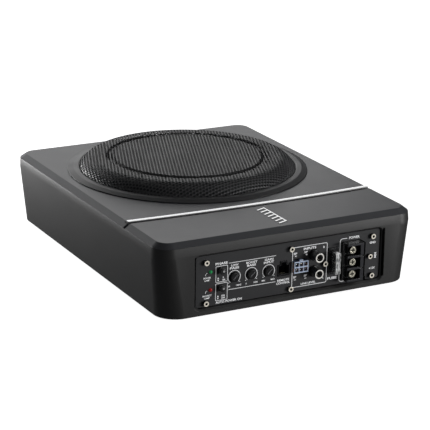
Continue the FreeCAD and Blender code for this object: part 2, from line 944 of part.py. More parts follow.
def make_cone():
    body = woofer_body("cone")
    rim_bottom = s.top_height - s.cone_rim_thickness
    neck_bottom = s.former_top - 1.2 * s.cone_rim_thickness
    turned(
        body,
        outline(
            (s.former_radius, neck_bottom),
            (s.surround_inner_radius, rim_bottom),
            (s.roll_inner_radius, rim_bottom),
            (s.roll_inner_radius, s.top_height),
            (s.surround_inner_radius - 0.4, s.top_height),
            (s.former_radius, s.former_top),
        ),
    )
    return body


def make_dust_cap():
    """A dome with a small flat at its crown."""
    body = woofer_body("dust_cap")
    top, thick, crown = s.cap_top, s.cap_thickness, s.cap_crown_radius
    half = s.cap_radius / 2
    droop = (s.cap_top - s.cap_base - thick) / 4
    turned(
        body,
        outline(
            (s.cap_radius - thick, s.cap_base, half, top - thick - droop * 1.15),
            (s.cap_radius, s.cap_base + 0.2),
            (s.cap_radius, s.cap_base + thick),
            (crown, top, half, top - droop),
            (0, top),
            (0, top - thick),
            (crown, top - thick),
        ),
    )
    return body


def make_voice_coil():
    """The former with its winding, glued into one piece."""
    body = woofer_body("voice_coil")
    tube(body, s.former_radius - s.former_thickness, s.former_radius, s.former_bottom, s.former_top)
    tube(
        body, s.former_radius - s.former_thickness / 2, s.former_radius + s.winding_thickness,
        s.winding_bottom, s.winding_top,
    )
    return body


def make_spider():
    """A ring of cloth with round waves between the former and the basket's ledge."""
    body = woofer_body("spider")
    inner = s.former_radius + 0.1
    low = s.spider_height
    waves = 8
    step = (s.basket_plate_radius - inner) / (waves + 1)
    tops = [(inner, low), (inner + step / 2, low)]
    for i in range(waves):
        lift = s.spider_wave if i % 2 else -s.spider_wave
        tops.append((inner + step * (i + 1), low + lift))
    tops += [(s.basket_plate_radius, low), (s.spider_outer_radius, low)]
    lower = [(r, z) for r, z in tops]
    upper = [(r, z + s.spider_thickness) for r, z in reversed(tops)]
    turned(body, outline(*lower, *upper))
    return body


def make_top_plate():
    body = woofer_body("top_plate")
    tube(body, s.plate_inner_radius, s.plate_radius, s.plate_bottom, s.basket_plate_bottom)
    return body


def make_magnet():
    body = woofer_body("magnet")
    tube(body, s.magnet_inner_radius, s.magnet_radius, s.yoke_top, s.plate_bottom)
    return body


def make_yoke():
    body = woofer_body("yoke")
    turned(
        body,
        outline(
            (s.pole_vent_radius, s.yoke_bottom),
            (s.yoke_radius, s.yoke_bottom),
            (s.yoke_radius, s.yoke_top),
            (s.pole_radius, s.yoke_top),
            (s.pole_radius, s.basket_plate_bottom),
            (s.pole_vent_radius, s.basket_plate_bottom),
        ),
    )
    return body


# Grille


def make_grille_ring():
    body = woofer_body("grille_ring")
    base = s.top_height
    lip = base + s.ring_lip_height
    hollow = s.mesh_flange_radius + s.fit_gap
    turned(
        body,
        outline(
            (s.ring_radius - s.ring_wall, base),
            (s.ring_radius, base),
            (s.ring_radius, base + s.ring_edge_height),
            (s.ring_crease_radius, base + s.ring_crease_height),
            (s.ring_inner_radius + 1.1, base + s.ring_crown_height),
            (s.ring_inner_radius, base + s.ring_crown_height - 0.5),
            (s.ring_inner_radius, lip),
            (hollow, lip),
            (hollow, lip - 0.5),
            (s.ring_crease_radius + 0.6, lip - 0.5),
            (s.ring_radius - s.ring_wall, base + 0.7),
        ),
    )
    return body


def make_grille_mesh():
    """The pressed grille as a plain thin shell."""
    body = woofer_body("grille_mesh")
    base = s.top_height
    thick = s.mesh_thickness
    lip = base + s.ring_lip_height
    flank, top = base + s.mesh_flank_height, base + s.mesh_top_height
    groove = top - s.mesh_groove_depth
    turned(
        body,
        outline(
            (s.mesh_flange_radius, lip - thick),
            (s.mesh_flange_radius, lip),
            (s.mesh_foot_radius, lip),
            (s.mesh_crown_radius, top, s.mesh_flank_radius, flank),
            (s.mesh_groove_outer, top),
            (s.mesh_groove_outer - 1.5, groove),
            (s.mesh_groove_inner + 1.5, groove),
            (s.mesh_groove_inner, top),
            (0, top),
            (0, top - thick),
            (s.mesh_groove_inner - thick / 2, top - thick),
            (s.mesh_groove_inner + 1.5 - thick / 2, groove - thick),
            (s.mesh_groove_outer - 1.5 + thick / 2, groove - thick),
            (s.mesh_groove_outer + thick / 2, top - thick),
            (s.mesh_crown_radius, top - thick),
            (s.mesh_foot_radius - thick, lip - thick, s.mesh_flank_radius - thick * 0.6, flank - thick * 0.8),
        ),
    )
    return body


# Control panel


def jack_outline(grow=0):
    """The remote jack's stepped front, seen from the front."""
    x, z = s.jack_x, s.jack_height
    wide, narrow = s.jack_half_width + grow, s.jack_tab_half_width + grow
    low, step, high = z - s.jack_bottom - grow, z + s.jack_top + grow, z + s.jack_tab_top + grow
    return outline(
        (x - wide, low), (x + wide, low), (x + wide, step), (x + narrow, step),
        (x + narrow, high), (x - narrow, high), (x - narrow, step), (x - wide, step),
    )


def make_control_panel():
    body = new_body("control_panel")
    gap = s.panel_gap
    plate = rounded(
        gap - s.window_half_width,
        s.window_bottom + gap,
        s.window_half_width - gap,
        s.window_top - gap,
        s.window_corner - gap,
    )
    prism(body, FRONT, panel_back, s.panel_face, plate)
    fit = s.fit_gap
    round_holes = [(x, z, s.panel_screw_radius + fit) for x, z in panel_screw_places]
    round_holes += [
        (s.input_screw_x, s.middle_screw_height, s.panel_screw_radius + fit),
        (s.bracket_screw_x, s.middle_screw_height, s.bracket_screw_radius + fit),
    ]
    round_holes += [(s.lamp_x, z, s.lamp_radius + fit / 2) for z in lamps.values()]
    round_holes += [(s.button_x, z, s.button_radius + fit) for z in buttons.values()]
    round_holes += [(x, s.rotary_height, s.shaft_radius + fit) for x in rotary_controls.values()]
    round_holes += [(x, z, s.line_collar_radius + fit) for x, z in line_places]
    cut(body, FRONT, panel_back, s.panel_face, *[circle(*hole) for hole in round_holes])
    openings = [
        (s.header_x, s.header_height, s.header_half_width, s.header_half_height),
        (s.fuse_x, s.fuse_height, s.holder_half_width, s.holder_half_height),
    ]
    cut(
        body, FRONT, panel_back, s.panel_face,
        *[rectangle(x - w - fit, z - t - fit, x + w + fit, z + t + fit) for x, z, w, t in openings],
        jack_outline(fit),
        rectangle(
            s.block_left + s.block_tail_inset - fit,
            s.block_tail_bottom - fit,
            s.block_right - s.block_tail_inset + fit,
            s.block_tail_top + fit,
        ),
    )
    return body


def make_socket_screws(label, places, head_radius, shank_radius, end):
    """Button-head screws with a hexagon socket, from the panel's face back to end."""
    body = new_body(label)
    face = s.panel_face
    tip = face + s.panel_screw_head_height
    prism(body, FRONT, face, tip, *[circle(x, z, head_radius) for x, z in places])
    prism(body, FRONT, end, face + 0.3, *[circle(x, z, shank_radius) for x, z in places])
    cut(body, FRONT, face + 0.6, tip, *[hexagon(x, z, head_radius * 0.54) for x, z in places])
    return body


def make_lamp(name, height):
    body = new_body(f"{name}_lamp", s.lamp_x, -s.panel_face, height)
    r, proud = s.lamp_radius, s.lamp_proud
    turned_forward(
        body,
        outline(
            (0, s.lamp_depth),
            (s.lamp_flange_radius, s.lamp_depth),
            (s.lamp_flange_radius, s.panel_thickness + 0.1),
            (r, s.panel_thickness + 0.1),
            (r, r - proud),
            (0, -proud, r * DIAGONAL, r - proud - r * DIAGONAL),
        ),
    )
    return body


def make_button(name, height):
    body = new_body(f"{name}_button", s.button_x, -s.panel_face, height)
    bevel = 0.4
    turned_forward(
        body,
        outline(
            (0, s.button_depth),
            (s.button_radius, s.button_depth),
            (s.button_radius, bevel - s.button_proud),
            (s.button_radius - bevel, -s.button_proud),
            (0, -s.button_proud),
        ),
    )
    return body


def make_switch_cases():
    """The push switches' cases, hollow where the buttons slide."""
    body = new_body("switch_cases")
    x, w, t = s.button_x, s.switch_half_width, s.switch_half_height
    cases = [rectangle(x - w, z - t, x + w, z + t) for z in buttons.values()]
    prism(body, FRONT, s.board_face, panel_back, *cases)
    end = s.panel_face - s.button_depth - s.button_travel - 0.3
    cut(body, FRONT, end, panel_back, *[circle(x, z, s.button_radius + s.fit_gap) for z in buttons.values()])
    return body


def make_shaft(name, x):
    """A screwdriver-slot shaft, turned to where its arrow points at rest."""
    body = new_body(f"{name}_shaft", x, -s.panel_face, s.rotary_height)
    body.Placement = FreeCAD.Placement(
        body.Placement.Base, FreeCAD.Rotation(FreeCAD.Vector(0, 1, 0), s.slot_angle.number)
    )
    bevel = 0.4
    turned_forward(
        body,
        outline(
            (0, s.shaft_depth),
            (s.shaft_radius, s.shaft_depth),
            (s.shaft_radius, bevel - s.shaft_proud),
            (s.shaft_radius - bevel, -s.shaft_proud),
            (0, -s.shaft_proud),
        ),
    )
    half = s.slot_width / 2
    cut(
        body, FRONT, s.shaft_proud - s.slot_depth, s.shaft_proud,
        rectangle(-half, -s.shaft_radius * 0.55, half, s.shaft_radius + 0.5),
    )
    return body


def make_control_cases():
    """The rotary controls' cases, bored for their shafts."""
    body = new_body("rotary_control_cases")
    w, t, z = s.rotary_half_width, s.rotary_half_height, s.rotary_height
    places = rotary_controls.values()
    prism(body, FRONT, s.board_face, panel_back, *[rectangle(x - w, z - t, x + w, z + t) for x in places])
    end = s.panel_face - s.shaft_depth - 0.3
    cut(body, FRONT, end, panel_back, *[circle(x, z, s.shaft_radius + s.shaft_gap) for x in places])
    return body


def make_remote_jack():
    body = new_body("remote_jack")
    x, z = s.jack_x, s.jack_height
    mouth, notch = s.jack_mouth_half_width, s.jack_notch_half_width
    bottom, step, top = z - s.jack_mouth_bottom, z + s.jack_mouth_top, z + s.jack_notch_top
    prism(body, FRONT, s.board_face, jack_front, jack_outline())
    cut(
        body, FRONT, jack_front - s.jack_mouth_depth, jack_front,
        outline(
            (x - mouth, bottom), (x + mouth, bottom), (x + mouth, step), (x + notch, step),
            (x + notch, top), (x - notch, top), (x - notch, step), (x - mouth, step),
        ),
    )
    return body


def make_remote_contacts():
    """Six spring wires on the floor of the remote jack's mouth."""
    body = new_body("remote_contacts")
    z = s.jack_height - s.jack_mouth_bottom + s.jack_contact_radius
    back = jack_front - s.jack_mouth_depth
    wires = [circle(s.jack_x + (i - 2.5) * s.jack_contact_pitch, z, s.jack_contact_radius) for i in range(6)]
    prism(body, FRONT, back, back + s.jack_contact_length, *wires)
    return body


def make_header():
    body = new_body("high_level_header")
    x, z = s.header_x, s.header_height
    w, t = s.header_half_width, s.header_half_height
    prism(body, FRONT, s.board_face, header_front, rectangle(x - w, z - t, x + w, z + t))
    latch = s.header_latch_half_width
    prism(
        body, FRONT, header_front - s.header_latch_length, header_front - 0.4,
        rectangle(x - latch, z + t - 0.3, x + latch, z + t + s.header_latch_height),
    )
    floor = header_front - s.header_cell_depth
    cut(body, FRONT, floor, header_front, *[square(a, b, s.header_cell / 2) for a, b in header_places])
    cut(body, FRONT, s.board_face, floor, *[square(a, b, s.header_pin / 2 + 0.02) for a, b in header_places])
    return body


def make_header_pins():
    body = new_body("header_pins")
    prism(body, FRONT, s.board_face, header_front - 1.5, *[square(a, b, s.header_pin / 2) for a, b in header_places])
    return body


def make_line_base():
    """The black block that carries both line-input jacks."""
    body = new_body("line_input_base")
    block = rectangle(s.line_base_left, s.line_base_bottom, s.line_base_right, s.line_base_top)
    prism(body, FRONT, s.board_face, panel_back, block)
    prism(
        body, FRONT, panel_back - 0.5, s.panel_face + s.line_collar_proud,
        *[circle(x, z, s.line_collar_radius) for x, z in line_places],
    )
    floor = panel_back - 3
    cut(
        body, FRONT, floor, s.panel_face + s.line_collar_proud,
        *[circle(x, z, s.line_shank_radius + 0.02) for x, z in line_places],
    )
    hole = s.panel_screw_radius + s.thread_gap
    cut(body, FRONT, s.board_face, panel_back, circle(s.input_screw_x, s.middle_screw_height, hole))
    return body


def make_line_tubes(label, outer, inner, start, end):
    body = new_body(label)
    shapes = [circle(x, z, r) for x, z in line_places for r in (outer, inner)]
    prism(body, FRONT, start, end, *shapes)
    return body


def make_line_shells():
    """Bright tubes, slightly thinner where the collars hold them."""
    body = new_body("line_input_shells")
    collar = s.panel_face + s.line_collar_proud
    prism(body, FRONT, panel_back - 3, collar + 0.5, *[circle(x, z, s.line_shank_radius) for x, z in line_places])
    prism(body, FRONT, collar, line_tip, *[circle(x, z, s.line_radius) for x, z in line_places])
    cut(body, FRONT, panel_back - 3, line_tip, *[circle(x, z, s.line_bore_radius) for x, z in line_places])
    return body


def make_line_inputs():
    floor = panel_back - 3
    make_line_shells()
    insert_end = line_tip - s.line_insert_recess
    make_line_tubes(
        "line_input_inserts", s.line_bore_radius - 0.02, s.line_contact_radius + 0.02, floor, insert_end
    )
    contact_end = line_tip - s.line_contact_recess
    make_line_tubes("line_input_contacts", s.line_contact_radius, s.line_contact_bore, floor, contact_end)


def make_fuse_holder():
    body = new_body("fuse_holder")
    x, z = s.fuse_x, s.fuse_height
    w, t = s.holder_half_width, s.holder_half_height
    front = s.panel_face + s.holder_proud
    prism(body, FRONT, s.board_face, front, rectangle(x - w, z - t, x + w, z + t))
    room = s.fuse_room
    seat_w, seat_t = s.fuse_half_width + room, s.fuse_half_height + room
    cut(body, FRONT, fuse_foot - room, front, rectangle(x - seat_w, z - seat_t, x + seat_w, z + seat_t))
    slot_w, slot_t = s.blade_half_thickness + room, s.blade_width / 2 + room
    slots = [
        rectangle(x - slot_w, z + side * s.blade_offset - slot_t, x + slot_w, z + side * s.blade_offset + slot_t)
        for side in (-1, 1)
    ]
    cut(body, FRONT, fuse_foot - s.blade_length - room, fuse_foot, *slots)
    return body


def make_fuse_body():
    """The clear plastic of a blade fuse, hollow round its link."""
    body = new_body("fuse_body")
    x, z = s.fuse_x, s.fuse_height
    w, t = s.fuse_half_width, s.fuse_half_height
    prism(body, FRONT, fuse_foot, fuse_tip, rounded(x - w, z - t, x + w, z + t, 0.8))
    wall = s.fuse_wall
    hollow = rectangle(x - w + wall, z - t + wall, x + w - wall, z + t - wall)
    cut(body, FRONT, fuse_foot, fuse_tip - wall, hollow)
    return body


def make_fuse_element():
    """Two blades joined by a thin link, cut from one sheet."""
    body = new_body("fuse_element")
    x, z = s.fuse_x, s.fuse_height
    thick = s.blade_half_thickness
    outer = s.blade_offset + s.blade_width / 2
    inner = s.blade_offset - s.blade_width / 2
    top = fuse_tip - s.fuse_wall - 1
    blades = [rectangle(x - thick, z + a, x + thick, z + b) for a, b in ((-outer, -inner), (inner, outer))]
    prism(body, FRONT, fuse_foot - s.blade_length, top, *blades)
    link = rectangle(x - thick, z - outer, x + thick, z + outer)
    prism(body, FRONT, top - s.link_width, top, link)
    return body


def make_terminal_block():
    body = new_body("terminal_block")
    front = s.panel_face + s.block_proud
    outer = rounded(s.block_left, s.block_bottom, s.block_right, s.block_top, 0.6)
    prism(body, FRONT, s.panel_face, front, outer)
    inset = s.block_tail_inset
    tail = rectangle(s.block_left + inset, s.block_tail_bottom, s.block_right - inset, s.block_tail_top)
    prism(body, FRONT, s.board_face, s.panel_face + 0.5, tail)
    half = s.cell_half_height
    cells = [rectangle(s.block_left - 1, z - half, s.cell_right, z + half) for z in cell_heights]
    cut(body, FRONT, cell_floor, front, *cells)
    notch = s.wall_notch_half_width
    notches = [
        rectangle(s.cell_right, z - s.cell_pitch / 2 - notch, s.block_right + 1, z - s.cell_pitch / 2 + notch)
        for z in cell_heights[:2]
    ]
    cut(body, FRONT, front - s.wall_notch_depth, front, *notches)
    step = rectangle(s.block_step_left, s.block_step_bottom, s.block_right + 1, s.block_top + 1)
    cut(body, FRONT, front - s.block_step_depth, front, step)
    hole = s.terminal_screw_radius + s.terminal_screw_gap
    end = clamp_top - s.terminal_screw_length - 0.4
    cut(body, FRONT, end, cell_floor, *[circle(s.terminal_x, z, hole) for z in cell_heights])
    return body


def make_terminal_plates():
    """The fixed conductors under the clamps."""
    body = new_body("terminal_plates")
    half = s.terminal_plate_half
    top = cell_floor + s.terminal_plate_thickness
    prism(body, FRONT, cell_floor, top, *[square(s.terminal_x, z, half) for z in cell_heights])
    hole = s.terminal_screw_radius + s.terminal_screw_gap
    cut(body, FRONT, cell_floor, top, *[circle(s.terminal_x, z, hole) for z in cell_heights])
    return body


def make_terminal_clamp(number, height):
    body = new_body(f"clamp_{number}", s.terminal_x, 0, height)
    prism(body, FRONT, clamp_bottom, clamp_top, square(0, 0, s.clamp_half))
    hole = s.terminal_screw_radius + s.terminal_screw_gap
    cut(body, FRONT, clamp_bottom, clamp_top, circle(0, 0, hole))
    return body


def make_terminal_screw(number, height):
    body = new_body(f"terminal_screw_{number}", s.terminal_x, 0, height)
    bottom = clamp_top + 0.02
    tip = bottom + s.terminal_head_height
    prism(body, FRONT, bottom, tip, circle(0, 0, s.terminal_head_radius))
    prism(body, FRONT, clamp_top - s.terminal_screw_length, bottom + 0.3, circle(0, 0, s.terminal_screw_radius))
    reach = s.terminal_head_radius * 0.68
    cut(body, FRONT, tip - s.terminal_head_height * 0.6, tip, cross(0, 0, reach, reach * 0.24))
    return body


def make_control_board():
    body = new_body("control_board")
    back = s.board_face - s.board_thickness
    board = rectangle(
        -s.control_board_left, s.control_board_bottom, s.control_board_right, s.control_board_top
    )
    prism(body, FRONT, back, s.board_face, board)
    return body


# Amplifier, on its own board behind the panel


def make_amplifier_board():
    body = new_body("amplifier_board")
    board = rectangle(
        -s.amp_board_half_width, -s.amp_board_front, s.amp_board_half_width, -s.amp_board_back
    )
    prism(body, TOP, s.amp_board_bottom, amp_board_top, board)
    hole = s.amp_screw_radius + s.fit_gap
    cut(body, TOP, s.amp_board_bottom, amp_board_top, *[circle(x, y, hole) for x, y in amp_post_places])
    return body


def make_board_screws():
    body = new_body("board_screws")
    head = s.amp_screw_radius * 1.9
    prism(body, TOP, amp_board_top, amp_board_top + 1.8, *[circle(x, y, head) for x, y in amp_post_places])
    prism(body, TOP, s.amp_board_bottom - 5, amp_board_top + 0.3, *[circle(x, y, s.amp_screw_radius) for x, y in amp_post_places])
    cut(
        body, TOP, amp_board_top + 0.6, amp_board_top + 1.8,
        *[cross(x, y, head * 0.6, head * 0.15) for x, y in amp_post_places],
    )
    return body


def make_heat_spreader():
    body = new_body("heat_spreader")
    reach = s.spreader_half_length
    bar = rectangle(-reach, s.spreader_bottom, reach, s.spreader_top)
    prism(body, FRONT, s.divider_front, spreader_front, bar)
    return body


def make_power_transistors():
    """Flat packages against the spreader, each with three legs down to the board."""
    body = new_body("power_transistors")
    half, low = s.transistor_half_width, s.transistor_bottom
    places = [(i - 2.5) * s.transistor_pitch for i in range(6)]
    prism(
        body, FRONT, spreader_front, transistor_front,
        *[rectangle(x - half, low, x + half, low + s.transistor_height) for x in places],
    )
    leg_back = spreader_front + s.transistor_thickness * 0.5
    legs = [
        rectangle(x + side * 2.54 - 0.4, amp_board_top, x + side * 2.54 + 0.4, low + 0.5)
        for x in places
        for side in (-1, 0, 1)
    ]
    prism(body, FRONT, leg_back, leg_back + 0.6, *legs)
    return body


def make_clamp_bar():
    body = new_body("transistor_clamp_bar")
    reach = s.transistor_pitch * 2.5 + s.transistor_half_width + 2
    low = s.clamp_bar_bottom
    bar = rectangle(-reach, low, reach, low + s.clamp_bar_height)
    prism(body, FRONT, transistor_front, transistor_front + s.clamp_bar_thickness, bar)
    return body


def make_capacitors():
    body = new_body("reservoir_capacitors")
    places = [(x, -118) for x in (18, 37, 56)]
    top = amp_board_top + s.capacitor_height
    prism(body, TOP, amp_board_top, top, *[circle(x, y, s.capacitor_radius) for x, y in places])
    return body


def make_choke():
    body = new_body("toroid_choke", -58, -113, 0)
    top = amp_board_top + s.choke_height
    prism(body, TOP, amp_board_top, top, circle(0, 0, s.choke_radius), circle(0, 0, s.choke_bore))
    return body


def make_transformer():
    body = new_body("transformer", -14, -113, 0)
    half = s.transformer_half
    prism(body, TOP, amp_board_top, amp_board_top + s.transformer_height, rounded(-half, -half, half, half, 2))
    return body


# The whole set


def make_all():
    make_housing()
    make_top_cover()
    make_cover_gasket()
    make_cover_screws()
    make_trim_strip()
    make_badge()
    make_basket_gasket()
    make_basket()
    make_basket_screws()
    make_surround()
    make_cone()
    make_dust_cap()
    make_voice_coil()
    make_spider()
    make_top_plate()
    make_magnet()
    make_yoke()
    make_grille_ring()
    make_grille_mesh()
    make_control_panel()
    screw_end = s.panel_face - s.panel_screw_length
    make_socket_screws(
        "panel_screws",
        panel_screw_places + [(s.input_screw_x, s.middle_screw_height)],
        s.panel_screw_head_radius,
        s.panel_screw_radius,
        screw_end,
    )
    make_socket_screws(
        "bracket_screw",
        [(s.bracket_screw_x, s.middle_screw_height)],
        s.bracket_screw_head_radius,
        s.bracket_screw_radius,
        s.cavity_front,
    )
    for name, height in lamps.items():
        make_lamp(name, height)
    for name, height in buttons.items():
        make_button(name, height)
    make_switch_cases()
    for name, x in rotary_controls.items():
        make_shaft(name, x)
    make_control_cases()
    make_remote_jack()
    make_remote_contacts()
    make_header()
    make_header_pins()
    make_line_base()
    make_line_inputs()
    make_fuse_holder()
    make_fuse_body()
    make_fuse_element()
    make_terminal_block()
    make_terminal_plates()
    for number, height in enumerate(cell_heights, 1):
        make_terminal_clamp(number, height)
        make_terminal_screw(number, height)
    make_control_board()
    make_amplifier_board()
    make_board_screws()
    make_heat_spreader()
    make_power_transistors()
    make_clamp_bar()
    make_capacitors()
    make_choke()
    make_transformer()


def check_and_export():
    doc.recompute()
    failed = [o.Label for o in doc.Objects if {"Invalid", "Error"} & set(o.State)]
    if failed:
        raise RuntimeError(f"these objects failed: {failed}")
    bodies = [o for o in doc.Objects if o.TypeId == "PartDesign::Body"]
    bad = [b.Label for b in bodies if b.Shape.isNull() or not b.Shape.isValid() or b.Shape.Volume <= 0]
    if bad:
        raise RuntimeError(f"these sub-parts have no valid solid: {bad}")
    os.makedirs("parts", exist_ok=True)
    for body in bodies:
        body.Shape.exportStep(f"parts/{body.Label}.step")
        print(f"{body.Label:26s} {len(body.Shape.Solids):3d} solids {body.Shape.Volume:12.1f} mm3")


make_all()
check_and_export()
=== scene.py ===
import json
import math

import bmesh
import bpy
from mathutils import Matrix, Vector


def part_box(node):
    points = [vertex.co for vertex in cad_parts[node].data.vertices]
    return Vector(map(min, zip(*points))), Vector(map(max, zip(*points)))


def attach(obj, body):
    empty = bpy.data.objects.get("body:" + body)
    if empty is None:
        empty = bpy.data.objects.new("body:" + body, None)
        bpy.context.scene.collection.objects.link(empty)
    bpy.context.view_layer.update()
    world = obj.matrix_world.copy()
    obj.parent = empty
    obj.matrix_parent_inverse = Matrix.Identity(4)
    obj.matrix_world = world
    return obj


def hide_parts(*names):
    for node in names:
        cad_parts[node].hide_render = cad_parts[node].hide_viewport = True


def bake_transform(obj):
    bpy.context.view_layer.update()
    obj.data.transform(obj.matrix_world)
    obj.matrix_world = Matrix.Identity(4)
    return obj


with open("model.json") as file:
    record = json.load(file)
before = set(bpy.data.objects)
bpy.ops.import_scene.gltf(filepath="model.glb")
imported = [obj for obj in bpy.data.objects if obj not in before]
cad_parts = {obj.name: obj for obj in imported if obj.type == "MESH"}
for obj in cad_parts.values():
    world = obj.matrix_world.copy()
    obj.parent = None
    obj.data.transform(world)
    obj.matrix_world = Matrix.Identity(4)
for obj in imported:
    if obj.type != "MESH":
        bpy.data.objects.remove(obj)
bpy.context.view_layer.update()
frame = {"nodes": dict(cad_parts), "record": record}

NODES = frame["nodes"]
MM = 0.001

# Places and sizes in millimetres, in the row frame
COVER_TOP = 65.3
WOOFER = (0.0, 37.6)
PANEL = -154.5
STRIP_Y = -88.1
STRIP_BOW = 3.6
STRIP_HALF = 119.5
STRIP_REACH = 119.2
STRIP_HEIGHT = 0.8
STRIP_DEPTH = 1.2
ROTARY_HEIGHT = 28.7
ROTARY_X = (-53.5, -37.3, -20.6)
BUTTON_HEIGHTS = (36.5, 21.2)
FOOT_RADIUS = 100.2
CROWN_RADIUS = 84.0
FOOT_HEIGHT = 1.9
CROWN_HEIGHT = 12.2
GROOVE_RADIUS = 72.0
GROOVE_HALF = 3.3
GROOVE_SLOPE = 1.6
GROOVE_DEPTH = 1.3
FLANK = (83.982, -5.717, 17.917)  # middle radius, height and radius of the arc from the foot to the crown
FORWARD = (0, -1, 0)
SIDEWAYS = (1, 0, 0)
UPWARD = (0, 0, 1)
INK_DEPTH = 0.03


# Materials


class Shader:
    """A Principled material and the few nodes that vary it over the surface."""

    def __init__(self, name):
        self.material = bpy.data.materials.new(name)
        self.material.use_nodes = True
        self.tree = self.material.node_tree
        self.surface = self.tree.nodes["Principled BSDF"]
        self.place = self.add("ShaderNodeTexCoord").outputs["Object"]

    def add(self, kind, **settings):
        node = self.tree.nodes.new(kind)
        for key, value in settings.items():
            setattr(node, key, value)
        return node

    def join(self, output, socket):
        self.tree.links.new(output, socket)

    def set(self, **values):
        for key, value in values.items():
            self.surface.inputs[key.replace("_", " ")].default_value = value

    def stretched(self, stretch):
        mapping = self.add("ShaderNodeMapping")
        mapping.inputs["Scale"].default_value = stretch
        self.join(self.place, mapping.inputs["Vector"])
        return mapping.outputs["Vector"]

    def noise(self, size, detail=2.0, stretch=(1, 1, 1)):
        """Noise whose features are about size millimetres wide."""
        node = self.add("ShaderNodeTexNoise")
        node.inputs["Scale"].default_value = 1000 / size
        node.inputs["Detail"].default_value = detail
        self.join(self.stretched(stretch), node.inputs["Vector"])
        return node.outputs["Fac"]

    def spread(self, factor, low, high, start=0.3, end=0.7):
        node = self.add("ShaderNodeMapRange")
        self.join(factor, node.inputs["Value"])
        for key, value in (("From Min", start), ("From Max", end), ("To Min", low), ("To Max", high)):
            node.inputs[key].default_value = value
        return node.outputs["Result"]

    def blend(self, factor, first, second):
        """One colour into another as factor goes from 0 to 1."""
        node = self.add("ShaderNodeMix", data_type="RGBA")
        self.join(factor, node.inputs["Factor"])
        for socket, colour in ((node.inputs[6], first), (node.inputs[7], second)):
            if isinstance(colour, tuple):
                socket.default_value = (*colour, 1)
            else:
                self.join(colour, socket)
        return node.outputs[2]

    def facing(self, axis, start=0.6, end=0.9):
        """1 where the surface faces along axis, 0 elsewhere."""
        dot = self.add("ShaderNodeVectorMath", operation="DOT_PRODUCT")
        self.join(self.add("ShaderNodeNewGeometry").outputs["Normal"], dot.inputs[0])
        dot.inputs[1].default_value = axis
        return self.spread(dot.outputs["Value"], 0, 1, start, end)

    def along(self, axis, start, end):
        """0 before start millimetres along axis, 1 after end."""
        dot = self.add("ShaderNodeVectorMath", operation="DOT_PRODUCT")
        self.join(self.place, dot.inputs[0])
        dot.inputs[1].default_value = axis
        return self.spread(dot.outputs["Value"], 0, 1, start * MM, end * MM)

    def away(self, centre, flat, start, end):
        """0 within start millimetres of centre, 1 beyond end, measured in the plane left by flat."""
        shift = self.add("ShaderNodeVectorMath", operation="SUBTRACT")
        self.join(self.place, shift.inputs[0])
        shift.inputs[1].default_value = [c * MM for c in centre]
        kept = self.add("ShaderNodeVectorMath", operation="MULTIPLY")
        self.join(shift.outputs["Vector"], kept.inputs[0])
        kept.inputs[1].default_value = flat
        length = self.add("ShaderNodeVectorMath", operation="LENGTH")
        self.join(kept.outputs["Vector"], length.inputs[0])
        return self.spread(length.outputs["Value"], 0, 1, start * MM, end * MM)

    def both(self, *factors):
        """1 where every factor is 1."""
        result = factors[0]
        for factor in factors[1:]:
            node = self.add("ShaderNodeMath", operation="MULTIPLY")
            self.join(result, node.inputs[0])
            self.join(factor, node.inputs[1])
            result = node.outputs["Value"]
        return result

    def inverse(self, factor):
        return self.spread(factor, 1, 0, 0, 1)

    def bump(self, height, depth):
        """Raises the surface by up to depth millimetres."""
        node = self.add("ShaderNodeBump")
        node.inputs["Distance"].default_value = depth * MM
        node.inputs["Strength"].default_value = 1.0
        self.join(height, node.inputs["Height"])
        self.join(node.outputs["Normal"], self.surface.inputs["Normal"])


def shade(colour, factor):
    return tuple(min(1.0, c * factor) for c in colour)


def finish(
    name, colour, rough, metal=0.0, grain=0.6, depth=0.02, drift=0.12, cloud=0.03, stretch=(1, 1, 1), marks=(),
    **extra
):
    """A fine grain, with slow drifts of shade and gloss.

    Each mark is a mask maker, its colour and its gloss.
    """
    s = Shader(name)
    fine = s.noise(grain, 3, stretch)
    slow = s.noise(22, 2)
    base = s.blend(slow, shade(colour, 1 - drift), shade(colour, 1 + drift))
    speckle_and_painted_marks = s.blend(s.spread(fine, 0, 0.5), base, shade(colour, 1 + 2 * drift))
    glosses = []
    # Each mark here blends painted light or painted shade over the speckle.
    for mask, mark, gloss in marks:
        factor = mask(s)
        speckle_and_painted_marks = s.blend(factor, speckle_and_painted_marks, mark)
        glosses.append(s.spread(factor, 1, gloss, 0, 1))
    s.join(speckle_and_painted_marks, s.surface.inputs["Base Color"])
    if glosses:
        s.join(s.spread(s.both(*glosses), 0, 0.5, 0, 1), s.surface.inputs["Specular IOR Level"])
    s.join(s.spread(slow, max(0.03, rough - cloud), rough + cloud), s.surface.inputs["Roughness"])
    s.set(Metallic=metal, **extra)
    s.bump(fine, depth)
    return s.material


def paint_lit_face(name, face, sides, rough, metal, reach, axis=FORWARD, painted_glow=0.5, **extra):
    """Painted highlight where it faces along axis beyond reach millimetres, painted shade on the other sides,
    and a painted glow on the lit face when it has an emission colour.
    """
    s = Shader(name)
    # front marks where the painted highlight goes; everything else takes the painted shade.
    front = s.both(s.facing(axis), s.along(axis, reach - 0.1, reach))
    worn_highlight = s.blend(s.noise(0.8, 3), shade(face, 0.85), face)
    s.join(s.blend(front, sides, worn_highlight), s.surface.inputs["Base Color"])
    s.join(s.spread(s.noise(1.5), rough - 0.06, rough + 0.06), s.surface.inputs["Roughness"])
    s.set(Metallic=metal, **extra)
    # The emission on the lit face is a painted glow; the part is no lamp.
    if "Emission_Color" in extra:
        s.join(s.spread(front, 0, painted_glow, 0, 1), s.surface.inputs["Emission Strength"])
    s.bump(s.noise(0.3, 2), 0.01)
    return s.material


